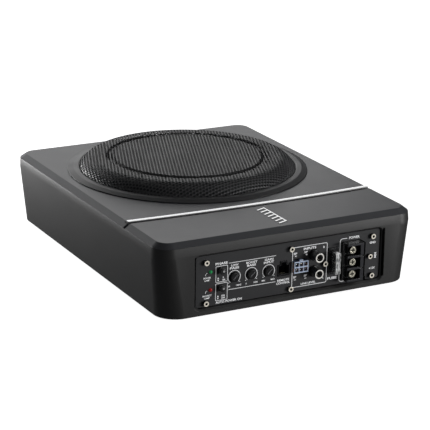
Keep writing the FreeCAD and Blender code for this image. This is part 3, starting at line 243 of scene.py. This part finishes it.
def clear(name, colour, rough, **extra):
    """A glossy tinted lens."""
    s = Shader(name)
    cloud = s.noise(3, 2)
    s.join(s.blend(cloud, shade(colour, 0.93), colour), s.surface.inputs["Base Color"])
    s.join(s.spread(cloud, rough, rough + 0.08), s.surface.inputs["Roughness"])
    s.set(**extra)
    s.bump(s.noise(1.2, 2), 0.01)
    return s.material


def fuse_plastic():
    """Clear plastic with a painted highlight, broken up by cloudy noise, and a painted glow towards the fuse's
    top, except on its left-facing side.
    """
    s = Shader("fuse_clear")
    lit_tip = s.both(s.along(FORWARD, 158.5, 160.5), s.inverse(s.facing((-1, 0, 0))))
    clouds = s.spread(s.noise(1.1, 3, (1, 0.4, 0.25)), 0.0, 1.0, 0.42, 0.6)
    # Near white where the painted highlight falls on the tip.
    s.join(s.blend(s.both(lit_tip, clouds), (0.25, 0.26, 0.26), (0.95, 0.96, 0.95)), s.surface.inputs["Base Color"])
    s.join(s.spread(lit_tip, 0.92, 0.45, 0, 1), s.surface.inputs["Transmission Weight"])
    s.join(s.spread(clouds, 0.08, 0.2, 0, 1), s.surface.inputs["Roughness"])
    s.set(IOR=1.49, Emission_Color=(1, 1, 1, 1))
    # Painted glow on the highlight; the fuse is no lamp.
    s.join(s.spread(s.both(lit_tip, clouds), 0, 0.18, 0, 1), s.surface.inputs["Emission Strength"])
    s.bump(clouds, 0.03)
    return s.material


def nylon(name, colour, depth_shade):
    """Milky plastic with painted shade in its sockets behind the front face, and a painted glow on the front.
    """
    s = Shader(name)
    shown = s.along(FORWARD, 157.6, 158.4)
    body = s.blend(s.noise(3, 2), shade(colour, 0.9), colour)
    # Behind the front face the sockets take the painted shade.
    s.join(s.blend(shown, depth_shade, body), s.surface.inputs["Base Color"])
    s.join(s.spread(s.noise(2), 0.25, 0.4), s.surface.inputs["Roughness"])
    s.set(Subsurface_Weight=0.1, Emission_Color=(0.6, 0.75, 1, 1))
    # Painted glow on the front face; the header is no lamp.
    s.join(s.spread(shown, 0, 0.12, 0, 1), s.surface.inputs["Emission Strength"])
    s.bump(s.noise(1.2, 2), 0.01)
    return s.material


def cloth(name, colour, thread):
    """A woven weave of threads each way, in millimetres."""
    s = Shader(name)
    ridges = []
    for way in ("X", "Y"):
        wave = s.add("ShaderNodeTexWave", wave_type="BANDS", bands_direction=way)
        wave.inputs["Scale"].default_value = 1000 / thread / 20
        wave.inputs["Distortion"].default_value = 0.4
        s.join(s.place, wave.inputs["Vector"])
        ridges.append(wave.outputs["Fac"])
    weave = s.add("ShaderNodeMath", operation="MULTIPLY")
    s.join(ridges[0], weave.inputs[0])
    s.join(ridges[1], weave.inputs[1])
    s.join(s.blend(weave.outputs[0], shade(colour, 0.6), shade(colour, 1.2)), s.surface.inputs["Base Color"])
    s.join(s.spread(s.noise(4), 0.7, 0.9), s.surface.inputs["Roughness"])
    s.bump(weave.outputs[0], 0.1)
    return s.material


def any_of(s, factors):
    """1 where at least one factor is 1."""
    result = factors[0]
    for factor in factors[1:]:
        node = s.add("ShaderNodeMath", operation="MAXIMUM")
        s.join(result, node.inputs[0])
        s.join(factor, node.inputs[1])
        result = node.outputs["Value"]
    return result


def lit_slots_of_shafts(s):
    """Painted light on the walls and floors of the screwdriver slots."""
    within = any_of(s, [s.inverse(s.away((x, 0, ROTARY_HEIGHT), (1, 0, 1), 3.5, 3.7)) for x in ROTARY_X])
    return s.both(within, s.inverse(s.along(FORWARD, 156.7, 156.9)))


def button_tip_highlights(s):
    """A small painted highlight on each button's end."""
    spots = any_of(s, [s.inverse(s.away((-65.6, 0, z + 0.2), (1, 0, 1), 0.8, 1.1)) for z in BUTTON_HEIGHTS])
    return s.both(spots, s.along(FORWARD, 158.5, 158.7))


def window_painted_shade(s):
    """Painted shade: black bands down both sides of the panel's recess, standing for its side walls in shadow.
    """
    right = s.both(s.along(SIDEWAYS, 91.1, 91.3), s.inverse(s.along(SIDEWAYS, 93.5, 93.7)))
    left = s.both(s.along(SIDEWAYS, -92.0, -91.8), s.inverse(s.along(SIDEWAYS, -90.2, -90.0)))
    high = s.both(s.along(UPWARD, 7.5, 8.5), s.inverse(s.along(UPWARD, 51.3, 52.3)))
    return s.both(any_of(s, [left, right]), high, s.along(FORWARD, 150, 151))


def ring_skirt_shade(s):
    """The sloping outer band of the grille ring, painted darker as shade."""
    return s.away((*WOOFER, 0), (1, 1, 0), 105.7, 106.1)


def mesh_flank_light(s):
    """The curved side of the pressed grille, painted lighter as painted light."""
    return s.away((*WOOFER, 0), (1, 1, 0), 84, 92)


def block_front_light(s):
    """The foremost faces of the terminal block, painted lighter as lit faces."""
    return s.both(s.facing(FORWARD), s.along(FORWARD, 164.0, 164.2))


def block_edge_shadow(s):
    """Painted shadow along the stepped right edge of the terminal block."""
    return s.both(s.along(SIDEWAYS, 67.6, 67.8), s.along(FORWARD, 156, 157))


BLACK = (0.012, 0.012, 0.0125)
# Black for painted shadow: the recess sides and the terminal block's right edge.
SHADOW_BLACK = (0.002, 0.002, 0.002)
WHITE = (0.85, 0.86, 0.87)
MATERIALS = {
    "housing_casting": finish(
        "housing_paint", (0.022, 0.0215, 0.021), 0.46, grain=0.45, depth=0.035, drift=0.08,
        # Painted shade: black bands down the sides of the panel's recess.
        cloud=0.012, marks=[(window_painted_shade, SHADOW_BLACK, 0)],
    ),
    "cover_satin": finish(
        "cover_paint", (0.037, 0.0385, 0.044), 0.42, grain=0.45, depth=0.03, drift=0.05, cloud=0.008,
    ),
    # Painted highlight and painted glow on the strip's upward faces, painted shade on its sides.
    "bright_trim": paint_lit_face(
        "bright_trim", (0.93, 0.94, 0.95), (0.1, 0.1, 0.1), 0.45, 0.3, 60.0, (0, 0, 1),
        Emission_Color=(1, 1, 1, 1),
    ),
    "ring_black": finish(
        "ring_paint", (0.03, 0.03, 0.031), 0.42, grain=0.4, depth=0.02, drift=0.08,
        # Painted shade on the ring's sloping outer band.
        marks=[(ring_skirt_shade, (0.02, 0.02, 0.021), 0.75)],
    ),
    "mesh_black": finish(
        "mesh_coat", (0.024, 0.024, 0.025), 0.4, grain=0.5, depth=0.01, drift=0.1,
        # Painted light on the grille's curved side.
        marks=[(mesh_flank_light, (0.05, 0.05, 0.052), 1)],
    ),
    "gasket_rubber": finish("gasket_rubber", (0.02, 0.02, 0.02), 0.8, grain=0.5, depth=0.03),
    "surround_rubber": finish("surround_rubber", (0.018, 0.018, 0.019), 0.62, grain=0.7, depth=0.02),
    "cone_paper": finish("cone_pulp", (0.03, 0.029, 0.028), 0.85, grain=0.9, depth=0.12, drift=0.25),
    "spider_cloth": cloth("spider_cloth", (0.42, 0.25, 0.08), 0.9),
    "coil_copper": finish(
        "coil_copper", (0.72, 0.33, 0.16), 0.3, 1.0, grain=0.35, depth=0.06, stretch=(0.02, 0.02, 1),
    ),
    "basket_steel": finish("basket_paint", BLACK, 0.4, grain=0.6, depth=0.02),
    "motor_steel": finish("motor_zinc", (0.5, 0.51, 0.53), 0.32, 0.9, grain=0.5, depth=0.02),
    "ferrite": finish("ferrite", (0.05, 0.05, 0.052), 0.6, grain=0.8, depth=0.05),
    "black_screws": finish("black_oxide", (0.02, 0.02, 0.021), 0.36, 0.6, grain=0.3, depth=0.01),
    "panel_black": finish("panel_paint", (0.028, 0.028, 0.03), 0.48, grain=0.5, depth=0.04, drift=0.14),
    # Painted highlight and painted glow on the screw heads' front faces, painted shade on their sides.
    "plated_screws": paint_lit_face(
        "plated_screws", (0.95, 0.88, 0.74), (0.01, 0.01, 0.01), 0.3, 0.5, 156.0, painted_glow=0.25,
        Emission_Color=(1, 0.95, 0.85, 1),
    ),
    "green_lens": clear(
        "green_lens", (0.03, 0.42, 0.12), 0.12, Emission_Color=(0.05, 0.6, 0.2, 1),
        Emission_Strength=0.08,
    ),
    "red_lens": clear(
        "red_lens", (0.5, 0.02, 0.02), 0.12, Emission_Color=(0.7, 0.03, 0.03, 1),
        Emission_Strength=0.08,
    ),
    "control_black": finish(
        "control_black", (0.006, 0.006, 0.0065), 0.34, grain=0.4, depth=0.012,
        # Painted highlight on each button's end.
        # Painted light in the shaft slots.
        marks=[(lit_slots_of_shafts, (0.5, 0.5, 0.51), 1), (button_tip_highlights, (0.55, 0.55, 0.55), 1)],
    ),
    "socket_black": finish(
        "socket_black", (0.008, 0.008, 0.009), 0.25, grain=1.2, depth=0.008,
        # Painted light on the terminal block's front faces.
        # Painted shadow along the terminal block's right edge.
        marks=[(block_front_light, (0.045, 0.045, 0.05), 1), (block_edge_shadow, SHADOW_BLACK, 0)], Coat_Weight=0.2,
    ),
    "contact_gold": finish("contact_gold", (0.24, 0.22, 0.17), 0.3, 1.0, grain=0.3, depth=0.004),
    # Painted shade in the header's sockets and painted glow on its front.
    "header_nylon": nylon("header_nylon", (0.66, 0.74, 0.9), (0.09, 0.12, 0.19)),
    "tinned_pins": finish("tinned_pins", (0.75, 0.75, 0.74), 0.24, 1.0, grain=0.3, depth=0.006),
    # Painted highlight and painted glow on the jack shells' front rims, painted shade on the barrels behind
    # them.
    "nickel_shell": paint_lit_face(
        "nickel_shell", (0.95, 0.93, 0.88), (0.05, 0.05, 0.05), 0.3, 0.5, 164.0, painted_glow=0.28,
        Emission_Color=(1, 0.97, 0.9, 1),
    ),
    # Painted highlight and painted glow on the fuse's top.
    "fuse_clear": fuse_plastic(),
    # Painted highlight and painted glow on the terminal screws' front faces, painted shade elsewhere.
    "terminal_metal": paint_lit_face(
        "terminal_metal", (0.92, 0.88, 0.72), (0.01, 0.01, 0.01), 0.26, 0.9, 162.0, painted_glow=0.12,
        Emission_Color=(1, 0.95, 0.8, 1),
    ),
    "clamp_black": finish("clamp_black", (0.012, 0.012, 0.012), 0.4, grain=0.6, depth=0.01),
    "board_green": finish(
        "solder_mask", (0.015, 0.11, 0.045), 0.28, grain=4.0, depth=0.03, drift=0.3, Coat_Weight=0.4,
    ),
    "steel_screws": finish("zinc_steel", (0.62, 0.62, 0.62), 0.3, 1.0, grain=0.3, depth=0.01),
    "spreader_aluminium": finish(
        "extruded_aluminium", (0.75, 0.76, 0.77), 0.36, 1.0, grain=0.5, depth=0.01,
        stretch=(0.03, 1, 1),
    ),
    "package_epoxy": finish("package_epoxy", (0.02, 0.02, 0.02), 0.55, grain=0.4, depth=0.02),
    "capacitor_sleeve": finish(
        "capacitor_sleeve", (0.015, 0.02, 0.07), 0.28, grain=1.5, depth=0.01, Coat_Weight=0.3,
    ),
    "winding_copper": finish("winding_copper", (0.66, 0.27, 0.11), 0.28, 1.0, grain=0.8, depth=0.1),
    "transformer_tape": finish(
        "transformer_tape", (0.62, 0.42, 0.04), 0.4, grain=2.0, depth=0.03, stretch=(1, 1, 0.1),
    ),
}
# White print with a painted glow: its emission makes the ink brighter than lit ink would be.
PRINT_PAINTED_GLOW = finish(
    "white_ink_painted_glow", WHITE, 0.6, grain=0.5, depth=0.004, drift=0.05, Emission_Color=(1, 1, 1, 1),
    Emission_Strength=0.25,
)

SLOT_OF = {part["node"]: part["material_slot"] for part in frame["record"]["subparts"]}
BODY_OF = {node: body for body, nodes in frame["record"]["behaviour"]["bodies"].items() for node in nodes}


# Pieces


def new_piece(name, mesh_data, material, smooth=32, flat=False):
    """A shown object from a bmesh, shaded smooth except at edges sharper than smooth degrees."""
    mesh = bpy.data.meshes.new(name)
    mesh_data.to_mesh(mesh)
    mesh_data.free()
    for polygon in mesh.polygons:
        polygon.use_smooth = True
    mesh.set_sharp_from_angle(angle=math.radians(smooth))
    mesh.materials.append(material)
    piece = bpy.data.objects.new(name, mesh)
    bpy.context.scene.collection.objects.link(piece)
    if flat:
        piece.modifiers.new("flat faces", "WEIGHTED_NORMAL").keep_sharp = True
    return piece


def stand_for(piece, node):
    """The piece moves with the CAD node's body and hides the node."""
    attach(piece, BODY_OF[node])
    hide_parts(node)


def refine(node, width, segments=2, angle=28):
    """Shows the CAD node with its flat faces made whole and its sharp edges rounded by width millimetres."""
    data = bmesh.new()
    data.from_mesh(NODES[node].data)
    bmesh.ops.remove_doubles(data, verts=data.verts, dist=2e-6)
    bmesh.ops.dissolve_limit(
        data, angle_limit=math.radians(0.4), verts=data.verts, edges=data.edges, use_dissolve_boundaries=False
    )
    sharp = [e for e in data.edges if len(e.link_faces) == 2 and e.calc_face_angle(0) > math.radians(angle)]
    bmesh.ops.bevel(
        data, geom=sharp, offset=width * MM, offset_type="OFFSET", segments=segments, profile=0.5,
        affect="EDGES", clamp_overlap=True,
    )
    bmesh.ops.remove_doubles(data, verts=data.verts, dist=1e-6)
    piece = new_piece(f"{node}_look", data, MATERIALS[SLOT_OF[node]], 40, flat=True)
    stand_for(piece, node)


def lathe(name, profile, material, steps=192):
    """Turns a closed outline of (radius, height) in millimetres about the woofer's standing axis."""
    data = bmesh.new()
    rings = []
    for i in range(steps):
        a = 2 * math.pi * i / steps
        rings.append([
            data.verts.new(((WOOFER[0] + r * math.cos(a)) * MM, (WOOFER[1] + r * math.sin(a)) * MM, z * MM))
            for r, z in profile
        ])
    count = len(profile)
    for i in range(steps):
        here, there = rings[i], rings[(i + 1) % steps]
        for j in range(count):
            k = (j + 1) % count
            data.faces.new((here[j], there[j], there[k], here[k]))
    bmesh.ops.recalc_face_normals(data, faces=data.faces)
    return new_piece(name, data, material, flat=True)


def rounded_path(corners, steps=5):
    """Points along an outline whose corners are (x, y, radius)."""
    points = []
    count = len(corners)
    for i, (x, y, radius) in enumerate(corners):
        here = Vector((x, y))
        before = Vector(corners[i - 1][:2]) - here
        after = Vector(corners[(i + 1) % count][:2]) - here
        reach = min(radius, before.length / 2, after.length / 2)
        if reach <= 0:
            points.append((x, y))
            continue
        start = here + before.normalized() * reach
        end = here + after.normalized() * reach
        for k in range(steps + 1):
            t = k / steps
            p = start * (1 - t) ** 2 + here * 2 * t * (1 - t) + end * t ** 2
            points.append((p.x, p.y))
    return points


# Grille


def mesh_height(r):
    """Height of the pressed grille's upper face above the cover, at radius r."""
    if r >= FOOT_RADIUS:
        return FOOT_HEIGHT
    if r > CROWN_RADIUS:
        return FLANK[1] + math.sqrt(max(0.0, FLANK[2] ** 2 - (r - FLANK[0]) ** 2))
    within = (GROOVE_HALF - abs(r - GROOVE_RADIUS)) / GROOVE_SLOPE
    return CROWN_HEIGHT - GROOVE_DEPTH * min(1.0, max(0.0, within))


def arc_table(limit, step=0.25):
    """Pairs of (distance along the pressed sheet, radius) out to the limit."""
    pairs = [(0.0, 0.0)]
    r = 0.0
    while r < limit:
        rise = mesh_height(r + step) - mesh_height(r)
        pairs.append((pairs[-1][0] + math.hypot(step, rise), r + step))
        r += step
    return pairs


def make_grille():
    """The perforated sheet: a staggered grid of round holes with their walls, over the domed profile."""
    pitch, hole, thick = 3.4, 1.44, 0.6
    turn = math.radians(8)
    rim = 102.2
    table = arc_table(rim)
    far = table[-1][0]
    perforated = far - 1.0

    def lifted(x, y, drop):
        s = math.hypot(x, y)
        s_on = min(s, far - 0.01)
        k = next(i for i, pair in enumerate(table) if pair[0] >= s_on)
        (s0, r0), (s1, r1) = table[max(0, k - 1)], table[k]
        r = r0 + (r1 - r0) * (s_on - s0) / (s1 - s0) if s1 > s0 else r1
        ratio = r / s if s > 1e-6 else 1.0
        height = COVER_TOP + mesh_height(r) - drop
        return ((WOOFER[0] + x * ratio) * MM, (WOOFER[1] + y * ratio) * MM, height * MM)

    data = bmesh.new()
    corners = {}

    def corner(x, y):
        key = (round(x * 50), round(y * 50))
        if key not in corners:
            corners[key] = data.verts.new(lifted(x, y, 0))
        return corners[key]

    row = pitch * math.sqrt(3) / 2
    reach = int(far / row) + 2
    for j in range(-reach, reach + 1):
        for i in range(-reach * 2, reach * 2 + 1):
            u, v = (i + 0.5 * (j % 2)) * pitch, j * row
            x = u * math.cos(turn) - v * math.sin(turn)
            y = u * math.sin(turn) + v * math.cos(turn)
            if math.hypot(x, y) > far + pitch * 0.3:
                continue
            size = pitch / math.sqrt(3)
            ring = []
            for k in range(6):
                a = turn + math.radians(30 + 60 * k)
                ring.append(corner(x + size * math.cos(a), y + size * math.sin(a)))
            if math.hypot(x, y) > perforated:
                data.faces.new(ring)
                continue
            mouth, foot = [], []
            for k in range(12):
                a = turn + math.radians(30 + 30 * k)
                px, py = x + hole * math.cos(a), y + hole * math.sin(a)
                mouth.append(data.verts.new(lifted(px, py, 0)))
                foot.append(data.verts.new(lifted(px, py, thick)))
            for k in range(6):
                a, b, c = mouth[2 * k], mouth[2 * k + 1], mouth[(2 * k + 2) % 12]
                data.faces.new((ring[k], b, a))
                data.faces.new((ring[k], ring[(k + 1) % 6], b))
                data.faces.new((ring[(k + 1) % 6], c, b))
            for k in range(12):
                n = (k + 1) % 12
                data.faces.new((mouth[k], mouth[n], foot[n], foot[k]))
    piece = new_piece("grille_perforated", data, MATERIALS["mesh_black"], 50)
    stand_for(piece, "grille_mesh")


def make_ring():
    """The ring round the mesh, with its crease and the lip that holds the mesh's foot."""
    base = COVER_TOP
    outline = rounded_path([
        (109.4, base, 0), (111.4, base, 0.2), (111.4, base + 0.8, 0.3), (105.9, base + 2.4, 0.7),
        (101.7, base + 2.8, 0.5), (100.6, base + 2.3, 0.3), (100.6, base + 1.95, 0.05), (102.7, base + 1.9, 0),
        (102.7, base + 1.4, 0), (106.5, base + 1.4, 0), (109.4, base + 0.7, 0),
    ])
    stand_for(lathe("grille_ring_look", outline, MATERIALS["ring_black"], 256), "grille_ring")


# Trim


def strip_line(x, offset):
    """Place along Y of the strip's line at x, offset towards the panel."""
    return STRIP_Y + STRIP_BOW * (x / STRIP_REACH) ** 2 - offset


def make_strip():
    """A bright bar with rounded shoulders along the bowed groove."""
    half, top, low = 2.25, COVER_TOP + STRIP_HEIGHT, COVER_TOP - STRIP_DEPTH
    section = [(-half, low), (-half, top - 0.5), (-half + 0.15, top - 0.15), (-half + 0.5, top - 0.02)]
    section += [(0, top)]
    section += [(-u, z) for u, z in reversed(section[:-1])]
    data = bmesh.new()
    steps = 96
    rings = []
    for i in range(steps + 1):
        x = STRIP_HALF * (2 * i / steps - 1)
        rings.append([data.verts.new((x * MM, strip_line(x, u) * MM, z * MM)) for u, z in section])
    for here, there in zip(rings, rings[1:]):
        for j in range(len(section)):
            k = (j + 1) % len(section)
            data.faces.new((here[j], here[k], there[k], there[j]))
    data.faces.new(rings[0])
    data.faces.new(rings[-1])
    bmesh.ops.recalc_face_normals(data, faces=data.faces)
    stand_for(new_piece("trim_strip_look", data, MATERIALS["bright_trim"], 30), "trim_strip")


# Print on the panel


class Print:
    """White ink on the panel: lines, arcs, marks and short words, all in one flat piece."""

    def __init__(self):
        self.data = bmesh.new()

    def at(self, x, z):
        return self.data.verts.new((x * MM, (PANEL - INK_DEPTH) * MM, z * MM))

    def patch(self, points):
        self.data.faces.new([self.at(x, z) for x, z in points])

    def line(self, points, width=0.48, closed=False):
        if closed:
            points = [*points, points[0], points[1]]
        sides = []
        for i, point in enumerate(points):
            here = Vector(point)
            before = (here - Vector(points[i - 1])).normalized() if i else None
            after = (Vector(points[i + 1]) - here).normalized() if i + 1 < len(points) else before
            before = before or after
            along = (before + after).normalized()
            across = Vector((-along.y, along.x)) * (width / 2 / max(0.5, along.dot(after)))
            sides.append((here + across, here - across))
        if closed:
            sides = sides[1:] if len(sides) > 2 else sides
        for (a, b), (c, d) in zip(sides, sides[1:]):
            self.patch([tuple(a), tuple(b), tuple(d), tuple(c)])

    def arc(self, x, z, radius, start, end, width=0.48):
        steps = max(6, int(abs(end - start) / 8))
        angles = [math.radians(start + (end - start) * i / steps) for i in range(steps + 1)]
        self.line([(x + radius * math.cos(a), z + radius * math.sin(a)) for a in angles], width)

    def dot(self, x, z, radius=0.4):
        angles = [k * math.pi / 6 for k in range(12)]
        self.patch([(x + radius * math.cos(a), z + radius * math.sin(a)) for a in angles])

    def box(self, left, bottom, right, top, radius=0.8, width=0.45):
        corners = [(left, bottom, radius), (right, bottom, radius), (right, top, radius), (left, top, radius)]
        self.line(rounded_path(corners), width, closed=True)

    def word(self, text, x, z, height=1.6, turn=0.0, width=None):
        """A word centred on (x, z), its capitals height millimetres tall."""
        curve = bpy.data.curves.new("word", "FONT")
        curve.body = text
        curve.align_x, curve.align_y = "CENTER", "CENTER"
        curve.size = height / 0.69
        curve.offset = 0.05 * height
        curve.resolution_u = 2
        source = bpy.data.objects.new("word", curve)
        mesh = bpy.data.meshes.new_from_object(source)
        spot = Matrix.Translation((x * MM, (PANEL - INK_DEPTH) * MM, z * MM))
        squeeze = 1.0
        if width:
            xs = [v.co.x for v in mesh.vertices]
            squeeze = width / (max(xs) - min(xs))
        tilt = Matrix.Rotation(math.radians(-turn), 4, "Y") @ Matrix.Rotation(math.radians(90), 4, "X")
        mesh.transform(spot @ tilt @ Matrix.Diagonal((MM * squeeze, MM, MM, 1)))
        self.data.from_mesh(mesh)
        bpy.data.objects.remove(source)
        bpy.data.curves.remove(curve)
        bpy.data.meshes.remove(mesh)


def make_print():
    p = Print()
    # Lamps
    p.arc(-78.9, 34.2, 1.7, 95, 200, 0.35)
    p.word("POWER", -79.2, 31.4, 1.35)
    p.word("LAMP", -79.2, 29.3, 1.35)
    p.arc(-78.9, 18.4, 1.7, 95, 200, 0.35)
    p.word("PROTECT", -79.0, 15.6, 1.35)
    p.word("LAMP", -79.0, 13.5, 1.35)
    # Switches
    p.word("PHASE", -65.8, 42.4, 2.0, width=11.6)
    p.box(-71, 26.3, -60, 40.3)
    p.box(-71, 10.0, -60, 25.0)
    for z in (28.7, 12.6):
        p.patch([(-69.6, z + 0.5), (-67.9, z + 0.5), (-68.75, z + 2.0)])
        p.patch([(-69.6, z - 0.2), (-68.75, z - 1.7), (-67.9, z - 0.2)])
    p.word("0", -64.0, 29.8, 1.5)
    p.word("180", -63.6, 27.7, 1.4)
    p.word("ON", -64.0, 13.7, 1.5)
    p.word("OFF", -63.8, 11.6, 1.4)
    p.word("AUTO POWER ON", -58.2, 8.2, 1.9, width=25)
    # Rotary controls
    p.line([(-58.75, 41.6), (-13.75, 41.6)])
    p.line([(-58.75, 18.1), (-13.75, 18.1)])
    controls = (
        (ROTARY_X[0], "LOW", 7.0, "PASS", 8.8, "50", "150HZ"),
        (ROTARY_X[1], "BOOST", 10.6, "BASS", 8.6, "0", "12DB"),
        (ROTARY_X[2], "GAIN", 8.4, "INPUT", 9.8, "MIN", "MAX"),
    )
    for x, first, first_width, second, second_width, low, high in controls:
        p.word(first, x + 0.2, 39.1, 1.8, width=first_width)
        p.word(second, x, 36.6, 1.8, width=second_width)
        p.arc(x, ROTARY_HEIGHT, 5.8, -50, 230, 0.5)
        p.dot(x - 5.3, 23.9, 0.4)
        p.dot(x + 5.3, 23.9, 0.4)
        p.word(low, x - 4.8, 20.8, 1.25)
        p.word(high, x + 4.2, 20.8, 1.25)
    # Inputs
    p.word("REMOTE", -6.2, 18.4, 1.8, width=11.6)
    p.word("CONTROL", -6.2, 15.8, 1.8, width=13.4)
    p.box(2.5, 10.0, 36.6, 45.9, 1.6, 0.55)
    p.word("INPUTS", 19.4, 43.3, 2.0, width=12.4)
    for x in (5.2, 15.6):
        p.word("SP", x, 40.2, 1.7, width=3.6)
        p.word("+", x + 0.6, 37.9, 2.0, width=2.0)
        p.word("SP", x, 19.0, 1.7, width=3.0)
        p.patch([(x - 0.8, 16.4), (x + 1.2, 16.4), (x + 1.2, 17.0), (x - 0.8, 17.0)])
    p.word("R", 33.4, 42.2, 1.8)
    p.line([(28.0, 18.6), (31.4, 15.6)], 0.35)
    p.word("L", 33.2, 14.6, 1.8)
    p.word("LINE LEVEL", 18.6, 12.0, 1.6, width=14.5)
    p.word("FUSE", 42.4, 12.6, 2.1, width=9.2)
    # Power
    frame_top = [(56.5, 46.9), (51.6, 46.9), (50.2, 46.3), (49.6, 44.9)]
    frame_bottom = [(49.6, 10.1), (50.2, 8.7), (51.6, 8.1), (63.5, 8.1)]
    p.line(frame_top + frame_bottom, 0.55)
    p.word("POWER", 63.6, 46.7, 2.1)
    p.word("GND", 82.8, 39.2, 1.9)
    p.word("REM", 85.8, 27.2, 1.9, turn=-90)
    p.word("+12V", 82.9, 15.6, 1.9)
    piece = new_piece("panel_print", p.data, PRINT_PAINTED_GLOW)
    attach(piece, "enclosure")


# Woofer


def flexing(piece, node):
    """Bakes the piece's placement into its mesh and hides the CAD node. In the object it is held by the
    enclosure at its outer edge and by the cone at its inner edge.
    """
    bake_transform(piece)
    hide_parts(node)


def make_surround():
    """The half roll of rubber between the basket's rim and the cone."""
    inner, outer, thick = 76.6, 87.4, 1.0
    low, high = COVER_TOP + 0.02, COVER_TOP + 1
    middle, reach = (inner + outer) / 2, (outer - inner) / 2
    angles = [math.pi * k / 20 for k in range(21)]
    roll = [(middle - reach * math.cos(a), high + reach * math.sin(a)) for a in angles]
    under = [(middle + (reach - thick) * math.cos(a), low + (reach - thick) * math.sin(a)) for a in angles]
    outline = [(72.1, low), (72.1, high), *roll, (93.9, high), (93.9, low), *under]
    piece = lathe("surround_roll", outline, MATERIALS["surround_rubber"])
    flexing(piece, "surround")


def make_spider():
    """The pleated disc that centres the coil, flat at both edges."""
    low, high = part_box("spider")
    middle = (low[2] + high[2]) / 2 / MM
    half = (high[2] - low[2]) / 2 / MM
    wave, thick = half - 0.32, 0.6
    first, last = 21.5, 49.5
    inner, outer = 19.5, 51.9
    upper, lower = [], []
    count = 100
    for k in range(count + 1):
        r = inner + (outer - inner) * k / count
        fade = min(1.0, max(0.0, (r - first) / 2), max(0.0, (last - r) / 2))
        z = middle + wave * fade * math.sin((r - first) * 2 * math.pi / 5.6)
        upper.append((r, z + thick / 2))
        lower.append((r, z - thick / 2))
    piece = lathe("spider_waves", upper + lower[::-1], MATERIALS["spider_cloth"], 144)
    flexing(piece, "spider")


# The rest of the CAD nodes keep their shape

EDGES = {
    "housing": 0.5,
    "top_cover": 0.45,
    "badge": 0.12,
    "control_panel": 0.25,
    "panel_screws": 0.25,
    "bracket_screw": 0.25,
    "power_lamp": 0.3,
    "protect_lamp": 0.3,
    "phase_button": 0.35,
    "auto_on_button": 0.35,
    "low_pass_shaft": 0.25,
    "bass_shaft": 0.25,
    "gain_shaft": 0.25,
    "remote_jack": 0.3,
    "high_level_header": 0.25,
    "header_pins": 0.15,
    "line_input_base": 0.3,
    "line_input_shells": 0.2,
    "line_input_inserts": 0.15,
    "line_input_contacts": 0.15,
    "fuse_holder": 0.35,
    "fuse_body": 0.35,
    "fuse_element": 0.08,
    "terminal_block": 0.35,
    "terminal_plates": 0.15,
    "clamp_1": 0.2,
    "clamp_2": 0.2,
    "clamp_3": 0.2,
    "terminal_screw_1": 0.25,
    "terminal_screw_2": 0.25,
    "terminal_screw_3": 0.25,
    "cover_screws": 0.2,
    "basket": 0.3,
    "magnet": 0.8,
    "yoke": 0.6,
    "top_plate": 0.5,
    "heat_spreader": 0.4,
    "power_transistors": 0.3,
    "transistor_clamp_bar": 0.2,
    "reservoir_capacitors": 0.6,
    "transformer": 0.4,
}


def dress_nodes():
    """Rounds the edges that show and gives every other node its finish."""
    for node, width in EDGES.items():
        refine(node, width)
    for node, shown in NODES.items():
        shown.data.materials.clear()
        shown.data.materials.append(MATERIALS[SLOT_OF[node]])


# Stage


def area_light(name, place, aim, width, height, power):
    light = bpy.data.lights.new(name, "AREA")
    light.shape = "RECTANGLE"
    light.size, light.size_y, light.energy = width, height, power
    lamp = bpy.data.objects.new(name, light)
    lamp.location = place
    lamp.rotation_euler = (Vector(aim) - Vector(place)).to_track_quat("-Z", "Y").to_euler()
    lamp.visible_camera = False
    bpy.context.scene.collection.objects.link(lamp)


def make_stage():
    data = bmesh.new()
    bmesh.ops.create_grid(data, x_segments=24, y_segments=24, size=6.0)
    s = Shader("pale_floor")
    tone = s.blend(s.noise(600, 2), (0.93, 0.93, 0.93), (0.97, 0.97, 0.97))
    s.join(tone, s.surface.inputs["Base Color"])
    s.set(Roughness=0.9, Emission_Color=(1, 1, 1, 1), Emission_Strength=0.9)
    floor = new_piece("floor", data, s.material)
    floor.location.z = -0.0005
    floor.visible_diffuse = False
    floor.visible_glossy = False
    area_light("overhead", (0.9, -0.1, 1.35), (0, 0, 0), 1.1, 1.1, 1.8)
    area_light("back", (0.4, 2.35, 0.9), (0, 0, 0.05), 2.5, 1.3, 16)
    area_light("right", (1.6, -1.2, 1.1), (0.1, -0.1, 0.05), 0.9, 0.9, 4)
    area_light("front", (1.7, -1.8, 0.12), (0.12, -0.15, 0.03), 1.2, 0.5, 34)
    area_light("left", (-0.31, 0.5, 0.05), (-0.125, 0.15, 0.03), 0.26, 0.1, 2.2)
    world = bpy.data.worlds.new("studio")
    world.use_nodes = True
    world.node_tree.nodes["Background"].inputs["Color"].default_value = (0.9, 0.92, 0.95, 1)
    world.node_tree.nodes["Background"].inputs["Strength"].default_value = 0.115
    bpy.context.scene.world = world
    bpy.context.scene.view_settings.view_transform = "Standard"


def make_camera():
    """A long lens above and to the left of the panel, rolled by one degree."""
    back = Vector((-0.4477, -0.8378, 0.3124)).normalized()
    level = Vector((-back.y, back.x, 0)).normalized()
    upright = back.cross(level)
    roll = math.radians(1.001)
    right = level * math.cos(roll) + upright * math.sin(roll)
    up = back.cross(right)
    place = (right * 9.103 + up * 28.072 + back * 1697.558) * MM
    lens = bpy.data.cameras.new("camera")
    lens.sensor_width, lens.lens = 36.0, 153.71
    lens.clip_start, lens.clip_end = 0.05, 30
    camera = bpy.data.objects.new("camera", lens)
    turned = Matrix((right, up, back)).transposed().to_4x4()
    camera.matrix_world = Matrix.Translation(place) @ turned
    bpy.context.scene.collection.objects.link(camera)
    bpy.context.scene.camera = camera


make_camera()
make_stage()
make_grille()
make_ring()
make_strip()
make_print()
make_surround()
make_spider()
dress_nodes()
